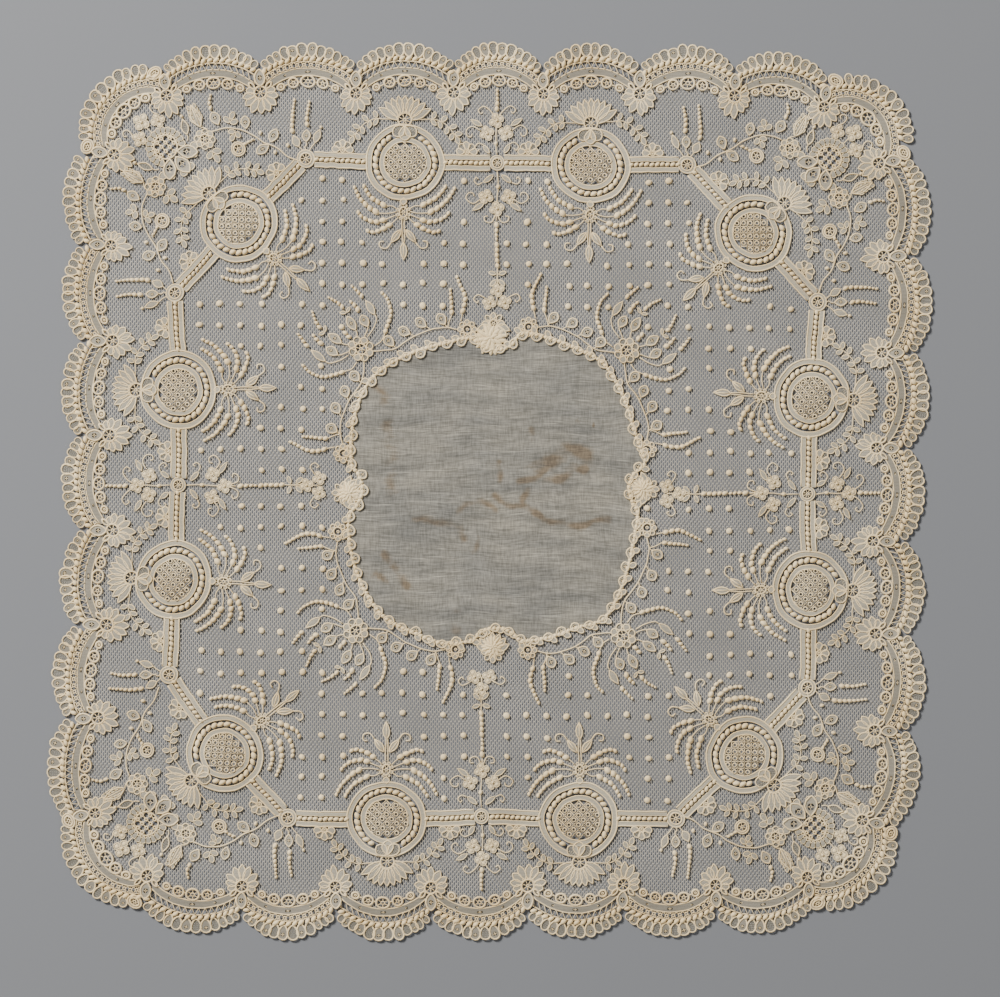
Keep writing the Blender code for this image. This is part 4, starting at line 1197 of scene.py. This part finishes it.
leaf(half, (4.4, 8.2), (9.9, 9.5), 4.0, fullness=1.15, sharp=0.75, eye=(0.6, 0.75), cord=0.5)
strand(half, curve([(11.6, 9.8), (15.0, 10.2), (18.0, 9.8)], 8), 2.6, 1.4)
stem(half, [(2.6, 4.5), (3.6, 6.8), (4.4, 8.2)])
leaf(half, (6.9, 3.8), (13.4, 5.1), 3.8, fullness=1.0, sharp=0.8, eye=(0.5, 0.85), cord=0.5)
stem(half, [(4.4, 2.2), (5.6, 3.2), (6.9, 3.8)])
leaf(half, (14.6, 5.8), (15.6, 8.4), 1.5, **SMALL)
leaf(half, (14.6, 5.8), (16.6, 3.8), 1.5, **SMALL)
strand(half, curve([(16.8, 6.1), (20.6, 5.6), (24.5, 4.2)], 8), 2.2, 1.2)
rim_bouquet = both_sides(half)
strand(rim_bouquet, [(5.9, 0), (10.6, 0)], 2.4, 2.0)
rim_corner = Motif()
spoked_eye(rim_corner, 0, 0, 2.5, 6, 0.6, wide=2.0, centre=0.24)
for k in range(8):
    turn = 45 * k + 22.5
    shape = petal(3.2, 3.3, "sheer" if k % 2 else "cloth", 1.3, 0.6, cord=0.5, count=10)
    lay(rim_corner, shape, *pointing(turn) * (2.2, 1.9), turn)
rim_small = flower(8, 4.0, 2.4, eye=1.75, fills=("cloth", "sheer"), spokes=0)
small_strands = Motif()
strand(small_strands, curve([(6.0, -6.0), (10.5, -6.4), (16.3, -6.9)], 10), 2.3, 1.4)
strand(small_strands, curve([(6.4, -2.0), (13.0, -1.0), (21.0, -4.6)], 12), 2.7, 1.6)
stem(small_strands, [(0.6, -8.0), (3.4, -7.2), (6.0, -6.0)], 0.38)
stem(small_strands, [(3.4, -2.6), (6.4, -2.0)], 0.38)

# %% Heavy flowers in the middle of each side
heavy = Motif()
padded_petal = knot(6.0, 2.35, 0.7, 0.5, 12, 0.45)
# Petals in a ring, its radius, their size and their height
HEAVY_RINGS = ((14, 4.7, 1.0, 0.05), (10, 3.0, 0.9, 0.3), (6, 1.5, 0.7, 0.5), (2, 0.5, 0.4, 0.62))
for count, radius, size, base in HEAVY_RINGS:
    turns = np.arange(count) * 360 / count + radius * 13 + hand.normal(0, 4, count)
    ways = np.stack([np.cos(np.radians(turns)), np.sin(np.radians(turns))], 1) * radius
    lay(heavy, padded_petal, *ways.T, turns, size * hand.normal(1, 0.06, count), size, base)
middle_fan = Motif()
spoked_eye(middle_fan, 0, 0, 1.6, 5, 0.6, centre=0.28)
for k in range(8):
    shape = petal(3.2, 2.5, "sheer" if k % 2 else "cloth", 1.1, 0.7, cord=0.5, count=10)
    lay(middle_fan, shape, *pointing(45 * k) * 1.5, 45 * k)
over_linen = Motif()
for k in range(-3, 4):
    tip = pointing(22 * k) * (8.4 - 0.3 * abs(k))
    leaf(over_linen, pointing(26 * k) * 1.6, tip, 2.9, fullness=1.0, cord=0.5)

# %% Lay the rim
VINE_PATH = (
    (0.06, -1.0), (0.117, -1.95), (0.236, -2.5), (0.324, -2.3), (0.405, -0.6),
    (0.507, 1.2), (0.667, 2.6), (0.742, 2.7), (0.821, 2.3), (0.92, 0.6),
)
VINE_BUDS = (
    ((0.317, -2.3), (0.236, 2.6)), ((0.507, 1.2), (0.38, 4.8)),
    ((0.667, 2.6), (0.553, 7.4)), ((0.82, 2.3), (0.765, 8.0)),
)
rim, inner = Motif(), Motif()
for i, (kind, x, y) in enumerate(RIM_FLOWERS):
    here = np.array((x, y))
    straight = 90 * round(angle_of(here) / 90)
    if kind == "corner":
        outward = angle_of(here)
        lay(rim, rim_corner, x, y, outward, base=0.15)
        lay(inner, rim_bouquet, x, y, outward)
        for neighbour, mirror in ((RIM_FLOWERS[(i + 1) % 16], 1), (RIM_FLOWERS[i - 1], -1)):
            chord = np.array(neighbour[1:]) - here
            left = np.array([-chord[1], chord[0]]) / np.linalg.norm(chord) * mirror
            stem(inner, [here + chord * share + left * out for share, out in VINE_PATH], 0.46, 30)
            for root, tip in VINE_BUDS:
                ends = [here + chord * share + left * out for share, out in (root, tip)]
                way = ends[1] - ends[0]
                long = np.linalg.norm(way)
                stem(inner, [ends[0], ends[0] + way * (1 - 4.3 / long)], 0.38, 4)
                lay(inner, eye_bud, *(ends[1] - way / long * 4.9), angle_of(way))
    elif kind == "small":
        lay(rim, rim_small, x, y, straight, base=0.15)
        follows = RIM_FLOWERS[(i + 1) % 16][0] == "corner"
        lay(inner, small_strands, x, y, straight, wide=1.0 if follows else -1.0)
    else:
        lay(rim, middle_fan, x, y, straight, base=0.15)
        lay(rim, over_linen, x, y, straight + 180, base=0.2)
        if straight == 90:
            lay(rim, heavy, x - 1.4, y - 5.8, 0, 0.98, 0.92, 0.05)
        else:
            lay(rim, heavy, *(here - pointing(straight) * 2.2), straight, 0.62, 0.62, 0.25)

# %% Rope round the linen
LINEN_MIDDLE = np.array((2.0, 0.8))
# How far the linen reaches, every ten degrees, a quarter of the way round to a line
LINEN_REACH = (
    53.2, 60.2, 59.8, 61.6, 63.7, 65.8, 64.9, 64.2, 63.0,
    55.4, 61.3, 62.1, 63.8, 65.5, 66.3, 64.1, 61.3, 58.8,
    53.4, 59.2, 62.3, 64.8, 66.5, 67.7, 66.4, 65.6, 61.6,
    55.4, 61.8, 63.3, 64.2, 67.4, 64.4, 60.9, 58.7, 57.8,
)
loop = []
for i, reach in enumerate(LINEN_REACH):
    if i % 9 == 0:
        loop.append(LINEN_MIDDLE + pointing(10 * i - 6) * (reach + 2))
    loop.append(LINEN_MIDDLE + pointing(10 * i) * reach)
    if i % 9 == 0:
        loop.append(LINEN_MIDDLE + pointing(10 * i + 6) * (reach + 2))
linen_edge = curve(loop + loop[:1], 721)[:-1]
rope = np.concatenate([linen_edge, linen_edge[:1]])
tube(rim, rope[:-1:4], 0.9, 0.4, closed=True, sides=5)
strand(rim, rope, 2.0, 2.0, 0.1, 32, 0.9)
reached = distances(rope)
rope_bud = petal(4.7, 3.7, "cloth", 1.15, 0.65, eye=(0.54, 0.85), cord=0.54)
rope_leaf = petal(3.4, 2.5, "cloth", 1.0, 0.6, cord=0.5)
at = np.arange(3.0, reached[-1] - 2, 5.8)
spots = places_along(rope, reached, at)
ahead = places_along(rope, reached, at + 0.5) - spots
turn = np.degrees(np.arctan2(ahead[:, 1], ahead[:, 0]))
aside = np.stack([-ahead[:, 1], ahead[:, 0]], 1)
sway = hand.normal(0, 0.8, (len(at), 1))
bud_turn = turn + 12 + hand.normal(0, 9, len(at))
lay(rim, rope_bud, *(spots - ahead * 3.0 + aside * sway).T, bud_turn, base=0.35)
leaf_turn = turn - 38 + hand.normal(0, 9, len(at))
lay(rim, rope_leaf, *(spots + ahead * 2.6 - aside * 0.4).T, leaf_turn, base=0.3)
rim_pieces = dress(rim, "centre_rim", "centre_rim", light_cloth)

# %% Lay the inner field and its dots
for kind, here, back, on in places:
    inward = back + ((on - back) % 360) / 2
    if kind == "medallion":
        lay(inner, spray, *(here + pointing(inward) * 19.8), inward)
    if kind == "eyelet":
        lay(inner, inner_stem, *here, 90 * round(inward / 90))


def within(points, polygon):
    """Which points lie inside a polygon."""
    x, y = points.T
    found = np.zeros(len(points), bool)
    for (ax, ay), (bx, by) in zip(polygon, np.roll(polygon, -1, 0)):
        if ay == by:
            continue
        side = (ay > y) != (by > y)
        found ^= side & (x < ax + (y - ay) / (by - ay) * (bx - ax))
    return found


def band_edge(outer_side):
    """The outline of the band, on its outer or inner side."""
    found = []
    for kind, here, back, on in places:
        sweep = (back - on) % 360 if outer_side else (on - back) % 360
        turn = -1 if outer_side else 1
        radius = {"medallion": 15.0, "knot": 3.6, "eyelet": 3.4}[kind]
        gap = math.degrees(math.asin(min(1, 3.0 / radius)))
        shares = np.linspace(0, 1, 12) if kind == "medallion" else (0.3, 0.5, 0.7)
        for share in shares:
            facing = back + turn * (gap + (sweep - 2 * gap) * share)
            found.append(here + pointing(facing) * radius)
    return np.array(found)


band_inside = band_edge(False)
columns = [side * (8.6 + 8.1 * rank) for side in (-1, 1) for rank in range(15)]
ranks = [side * (7.2 + 8.3 * rank) for side in (-1, 1) for rank in range(15)]
spots = grid_places(columns, ranks) + (-2.3, 0.5)
spots[:, 1] -= 0.006 * spots[:, 0]
spots = spots[within(spots, band_inside) & ~within(spots, linen_edge)]
filled = [part for zone in (inner, rim, band) for part in zone.parts.values() if part.count]
taken = np.concatenate([np.concatenate(part.points)[:, :2] for part in filled] + [linen_edge])
free = [spot for spot in spots if np.min(np.hypot(*(taken - spot).T)) > 2.1]
free = np.array(free) + hand.normal(0, 0.25, (len(free), 2))
dot = knot(2.5, 2.5, 0.8, 0.5, 11)
long, wide = hand.normal(1, 0.07, (2, len(free)))
lay(inner, dot, *free.T, hand.uniform(0, 180, len(free)), long, wide)
print("dots:", len(free))
inner_pieces = dress(inner, "inner_field", "inner_net", light_cloth)

# %% [markdown]
# ## The net
# The ground is a net of tiny meshes, 1.6 mm wide and 1 mm high, and every second row is shifted by
# half a mesh. Each mesh is a short twisted bar and two slanting threads. A real net of tubes would
# need millions of faces, so the threads are flat ribbons, and those that would cross an open eye
# are left out. The needle never works quite evenly, so slow waves push the rows a little.

# %% Net
MESH_WIDE, MESH_HIGH = 1.6, 1.0


def net(outside, opening, eyes, name, cad_node):
    low, high = outside.min(0) - 2, outside.max(0) + 2
    rows = np.arange(math.floor(low[1] / MESH_HIGH), math.ceil(high[1] / MESH_HIGH))
    columns = np.arange(math.floor(low[0] / MESH_WIDE), math.ceil(high[0] / MESH_WIDE))
    column, row = (values.ravel() for values in np.meshgrid(columns, rows))
    knots = np.stack([(column + 0.5 * (row % 2)) * MESH_WIDE, row * MESH_HIGH], 1)
    keep = within(knots, outside) & ~within(knots, opening)
    eyes = np.array(eyes)
    for x, y, radius in eyes:
        keep &= np.hypot(knots[:, 0] - x, knots[:, 1] - y) > radius + 0.2
    knots = knots[keep]
    threads = Stitches()
    half = 0.26
    level = 0.45 + 0.06 * hand.random(len(knots))
    lines = (
        (knots + (-half, 0), knots + (half, 0), 0.31, 0.06),
        (knots + (-half, 0), knots + (-0.8 + half, -MESH_HIGH), 0.19, 0.0),
        (knots + (half, 0), knots + (0.8 - half, -MESH_HIGH), 0.19, 0.03),
    )
    for start, end, width, lift in lines:
        wide = width * hand.normal(1, 0.09, len(start))
        ribbons(threads, start, end, wide, level + lift)
    return piece_from(threads, name, net_thread, cad_node, raised=False)


shares = np.linspace(0, 1, 14)
net_outside = []
for i in range(len(stations)):
    net_outside += list(scallop(i, *RIBBON_INNER, shares)[0])
net_outside = np.array(net_outside)
eyes = edge.eyes + blossoms.eyes + band.eyes + outer.eyes
outer_mesh = net(net_outside, band_edge(True), eyes, "outer_mesh", "outer_net")
shrunk_linen = LINEN_MIDDLE + (linen_edge - LINEN_MIDDLE) * 1.004
eyes = inner.eyes + rim.eyes + band.eyes
inner_mesh = net(band_inside, shrunk_linen, eyes, "inner_mesh", "inner_net")

# %% [markdown]
# ## The linen
# The middle is very fine plain-woven linen. Its threads are uneven: some swell into slubs that
# show as pale streaks across, and the cloth has faint ripples from a century of folding. The sheet
# is built in rings out from its middle, then pushed up and down by those ripples. Old stains are
# part of it too, so they are painted into a colour layer of the mesh, as soft spots along a few
# short paths, and a fine noise in the material frays their edges.

# %% Linen sheet
SPOKES, RINGS_OUT = 240, 64
edge_points = linen_edge[::3]
shares = np.linspace(0, 1, RINGS_OUT + 1)[1:]
flat_points = LINEN_MIDDLE + (edge_points[None] - LINEN_MIDDLE) * shares[:, None, None] * 0.998
flat_points = np.concatenate([[LINEN_MIDDLE], flat_points.reshape(-1, 2)])
x, y = flat_points.T
ripple = (
    0.10 * np.sin(y / 2.1 + 1.3 * np.sin(x / 15.0) + 0.6 * np.sin(x / 6.7))
    + 0.07 * np.sin(y / 1.13 + 2.0 * np.sin(x / 21.0 + y / 9.0))
    + 0.05 * np.sin(x / 1.9 + 1.1 * np.sin(y / 12.0))
)
level = 0.62 + 0.5 * ripple
linen_mesh = bpy.data.meshes.new("linen_sheet")
a, b = np.arange(SPOKES), (np.arange(SPOKES) + 1) % SPOKES
fan_faces = np.stack([np.zeros(SPOKES, int), 1 + a, 1 + b], 1)
ring_faces = joined(RINGS_OUT, SPOKES)[:, [0, 3, 2, 1]] + 1
linen_points = (np.c_[flat_points, level] * MM).tolist()
linen_mesh.from_pydata(linen_points, [], fan_faces.tolist() + ring_faces.tolist())
linen_mesh.polygons.foreach_set("use_smooth", np.ones(len(linen_mesh.polygons), bool))
print("linen faces:", len(linen_mesh.polygons))

# %% Stains
# Strength, half width and path of each mark, mm from the middle of the handkerchief
STAINS = (
    (0.74, 2.8, ((17.3, 8.7), (25.4, 12.5), (30.8, 16.9))),
    (0.74, 3.0, ((30.8, 16.9), (35.0, 16.2), (38.9, 14.1))),
    (0.66, 1.7, ((10.8, 3.9), (17.9, 5.5), (22.0, 9.4))),
    (0.70, 2.1, ((22.2, 3.9), (28.7, 5.5), (33.0, 9.3), (37.3, 8.7))),
    (0.62, 1.5, ((1.7, -1.5), (6.5, -5.3), (12.5, -6.4), (17.9, -8.6), (21.1, -11.3))),
    (0.64, 1.6, ((21.1, -11.3), (27.6, -12.9), (36.2, -14.0), (41.7, -11.8), (47.1, -11.8))),
    (0.56, 1.6, ((14.6, 0.1), (12.5, -4.8), (17.9, -9.1))),
    (0.60, 1.5, ((-13.5, -8.0), (-9.2, -4.8), (-3.8, -4.2), (1.7, -7.5))),
    (0.56, 1.8, ((-30.8, -11.3), (-20.0, -12.4), (-13.5, -14.5), (-10.8, -18.8))),
    (0.50, 1.2, ((-4.8, -18.8), (-5.9, -23.2), (-7.5, -25.3))),
    (0.62, 1.5, ((3.3, 11.4), (3.8, 4.4))),
    (0.48, 1.5, ((16.2, 24.4), (16.2, 20.1))),
    (0.62, 1.9, ((-42.7, -25.3), (-38.3, -30.7), (-33.5, -37.8))),
    (0.52, 1.6, ((-52.4, -32.9), (-45.9, -33.4), (-41.6, -36.7))),
    (0.64, 2.2, ((-47.0, 41.7), (-44.3, 39.5), (-42.7, 36.8))),
    (0.38, 3.2, ((-41.6, 26.6), (-40.5, 15.8), (-39.4, -0.5))),
    (0.36, 2.6, ((-13.5, -45.9), (-14.0, -55.6))),
    (0.90, 0.7, ((34.6, 27.9), (34.7, 27.8))),
    (0.90, 0.6, ((40.8, 26.3), (40.9, 26.2))),
)
patchy = 0.62 + 0.38 * np.sin(x / 2.3 + 1.7 * np.sin(y / 3.1)) * np.sin(y / 1.9)
stain = np.zeros(len(flat_points))
for strength, width, path in STAINS:
    nearest = np.full(len(flat_points), np.inf)
    for spot in curve(path, 40):
        nearest = np.minimum(nearest, np.hypot(x - spot[0], y - spot[1]))
    stain = np.maximum(stain, strength * patchy * np.exp(-((nearest / width) ** 2)))
marks = linen_mesh.color_attributes.new("marks", "FLOAT_COLOR", "POINT")
marks.data.foreach_set("color", np.c_[stain, stain, stain, np.ones(len(stain))].ravel())

# %% Linen cloth
linen_cloth = bpy.data.materials.new("linen_cloth")
linen_cloth.use_nodes = True
tree = linen_cloth.node_tree
shader = tree.nodes["Principled BSDF"]
where = node(tree, "ShaderNodeTexCoord").outputs["Object"]
push = node(tree, "ShaderNodeMath", operation="MULTIPLY_ADD")
tree.links.new(noise(tree, where, 40.0, 1.0), push.inputs[0])
push.inputs[1].default_value, push.inputs[2].default_value = 6 * MM, -3 * MM
sideways = node(tree, "ShaderNodeCombineXYZ")
tree.links.new(push.outputs["Value"], sideways.inputs["Y"])
bent = node(tree, "ShaderNodeVectorMath", operation="ADD")
tree.links.new(where, bent.inputs[0])
tree.links.new(sideways.outputs["Vector"], bent.inputs[1])


def stretched(x, y):
    mapping = node(tree, "ShaderNodeMapping")
    mapping.inputs["Scale"].default_value = (x, y, 1.0)
    tree.links.new(bent.outputs["Vector"], mapping.inputs["Vector"])
    return mapping.outputs["Vector"]


across = noise(tree, stretched(0.08, 1.0), 0.42, 4.0)
upright = noise(tree, stretched(1.0, 0.11), 0.42, 4.0)
thick_threads = noise(tree, stretched(0.035, 1.0), 0.55, 1.0)
fold_shade_noise = noise(tree, stretched(0.16, 1.0), 6.5, 3.0)
base = ramp(tree, across, (0.20, 0.187, 0.158), (0.35, 0.326, 0.274), 0.36, 0.64)
darker_warp = ramp(tree, upright, (0.68, 0.68, 0.68), WHITE, 0.36, 0.6)
base = mixed(tree, "MULTIPLY", 0.9, base, darker_warp)
# Painted light and shade of folds: broad bands along the weft, cool where darker and warm where
# lighter
painted_fold_light_and_shade = ramp(tree, fold_shade_noise, (0.74, 0.75, 0.765), (1.06, 1.05, 1.02), 0.36, 0.64)
base = mixed(tree, "MULTIPLY", 1.0, base, painted_fold_light_and_shade)
cloudy = ramp(tree, noise(tree, where, 26.0), (0.86, 0.87, 0.885), (1.0, 0.985, 0.95))
base = mixed(tree, "MULTIPLY", 1.0, base, cloudy)
slubs = ramp(tree, thick_threads, (0, 0, 0), (0.13, 0.12, 0.095), 0.66, 0.73)
base = mixed(tree, "ADD", 1.0, base, slubs)
weft = ramp(tree, rows(tree, where, "Y", 0.42, 0.8), (0.72, 0.71, 0.70), WHITE, 0.1, 0.75)
warp = ramp(tree, rows(tree, where, "X", 0.46, 0.8), (0.84, 0.83, 0.82), WHITE, 0.1, 0.75)
weave = mixed(tree, "MULTIPLY", 1.0, weft, warp)
base = mixed(tree, "MULTIPLY", 0.85, base, weave)
painted = node(tree, "ShaderNodeVertexColor", layer_name="marks").outputs["Color"]
split = node(tree, "ShaderNodeSeparateColor")
tree.links.new(painted, split.inputs["Color"])
frayed = node(tree, "ShaderNodeMath", operation="MULTIPLY_ADD")
tree.links.new(noise(tree, stretched(0.5, 1.0), 1.6, 3.0), frayed.inputs[0])
frayed.inputs[1].default_value = 0.34
tree.links.new(split.outputs["Red"], frayed.inputs[2])
soaked = ramp(tree, frayed.outputs["Value"], (0, 0, 0), (0.92, 0.92, 0.92), 0.27, 0.56)
stained = mixed(tree, "MULTIPLY", 1.0, base, (0.73, 0.595, 0.47, 1))
base = mixed(tree, "MIX", soaked, base, stained)
tree.links.new(base, shader.inputs["Base Color"])
bump = node(tree, "ShaderNodeBump")
bump.inputs["Strength"].default_value = 0.45
bump.inputs["Distance"].default_value = 0.12 * MM
tree.links.new(weave, bump.inputs["Height"])
tree.links.new(bump.outputs["Normal"], shader.inputs["Normal"])
shader.inputs["Roughness"].default_value = 0.9
shader.inputs["Sheen Weight"].default_value = 0.15
shader.inputs["Specular IOR Level"].default_value = 0.2
linen_mesh.materials.append(linen_cloth)
linen = bpy.data.objects.new("linen_sheet", linen_mesh)
bpy.context.scene.collection.objects.link(linen)
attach(linen, "root")
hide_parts("linen_centre")

# %% [markdown]
# ## The linen's size and the lace pieces
# The linen is a sheet that lies flat, and the lace is sewn round it. Here the size of its edge is
# measured and the lace pieces are gathered in one list.

ends = np.roll(edge_points, -1, 0)
size = np.ptp(edge_points, axis=0)
lace = edge_pieces + band_pieces + outer_pieces + inner_pieces + rim_pieces
lace += [outer_mesh, inner_mesh]

# %% [markdown]
# ## Floor, light and camera
# The photograph was taken straight from above, so the camera looks straight down on the middle of
# the picture. The floor is pale and a little darker than the threads, or cream lace would vanish
# on it. A broad light from the upper left brings out the padded knots, and a soft sky fills the
# shadows.

# %% Studio
bpy.ops.mesh.primitive_plane_add(size=4.0, location=(0, 0, -0.00005))
floor = bpy.context.object
floor.name = "floor"
paper = bpy.data.materials.new("pale_floor")
paper.use_nodes = True
paper_shader = paper.node_tree.nodes["Principled BSDF"]
paper_shader.inputs["Base Color"].default_value = (0.165, 0.167, 0.172, 1)
paper_shader.inputs["Roughness"].default_value = 0.95
paper_shader.inputs["Specular IOR Level"].default_value = 0.1
floor.data.materials.append(paper)

# Name, place in metres, power in watts and size in metres
LAMPS = (("key", (-1.1, 1.1, 1.2), 95.0, 0.45), ("fill", (1.3, -0.8, 1.6), 8.0, 1.5))
for name, place, power, width in LAMPS:
    lamp_data = bpy.data.lights.new(name, "AREA")
    lamp_data.energy = power
    lamp_data.size = width
    lamp = bpy.data.objects.new(name, lamp_data)
    lamp.location = place
    lamp.rotation_euler = (-lamp.location).to_track_quat("-Z", "Y").to_euler()
    bpy.context.scene.collection.objects.link(lamp)
world = bpy.data.worlds.new("soft_sky")
world.use_nodes = True
world.node_tree.nodes["Background"].inputs["Color"].default_value = (0.95, 0.97, 1.0, 1)
world.node_tree.nodes["Background"].inputs["Strength"].default_value = 0.32
bpy.context.scene.world = world

camera_data = bpy.data.cameras.new("camera")
camera_data.sensor_width = 36.0
camera_data.lens = 100.0
camera_data.clip_start = 0.01
camera = bpy.data.objects.new("camera", camera_data)
camera.location = (3.6 * MM, -3.0 * MM, 400 * MM * 100 / 36)
bpy.context.scene.collection.objects.link(camera)
bpy.context.scene.camera = camera
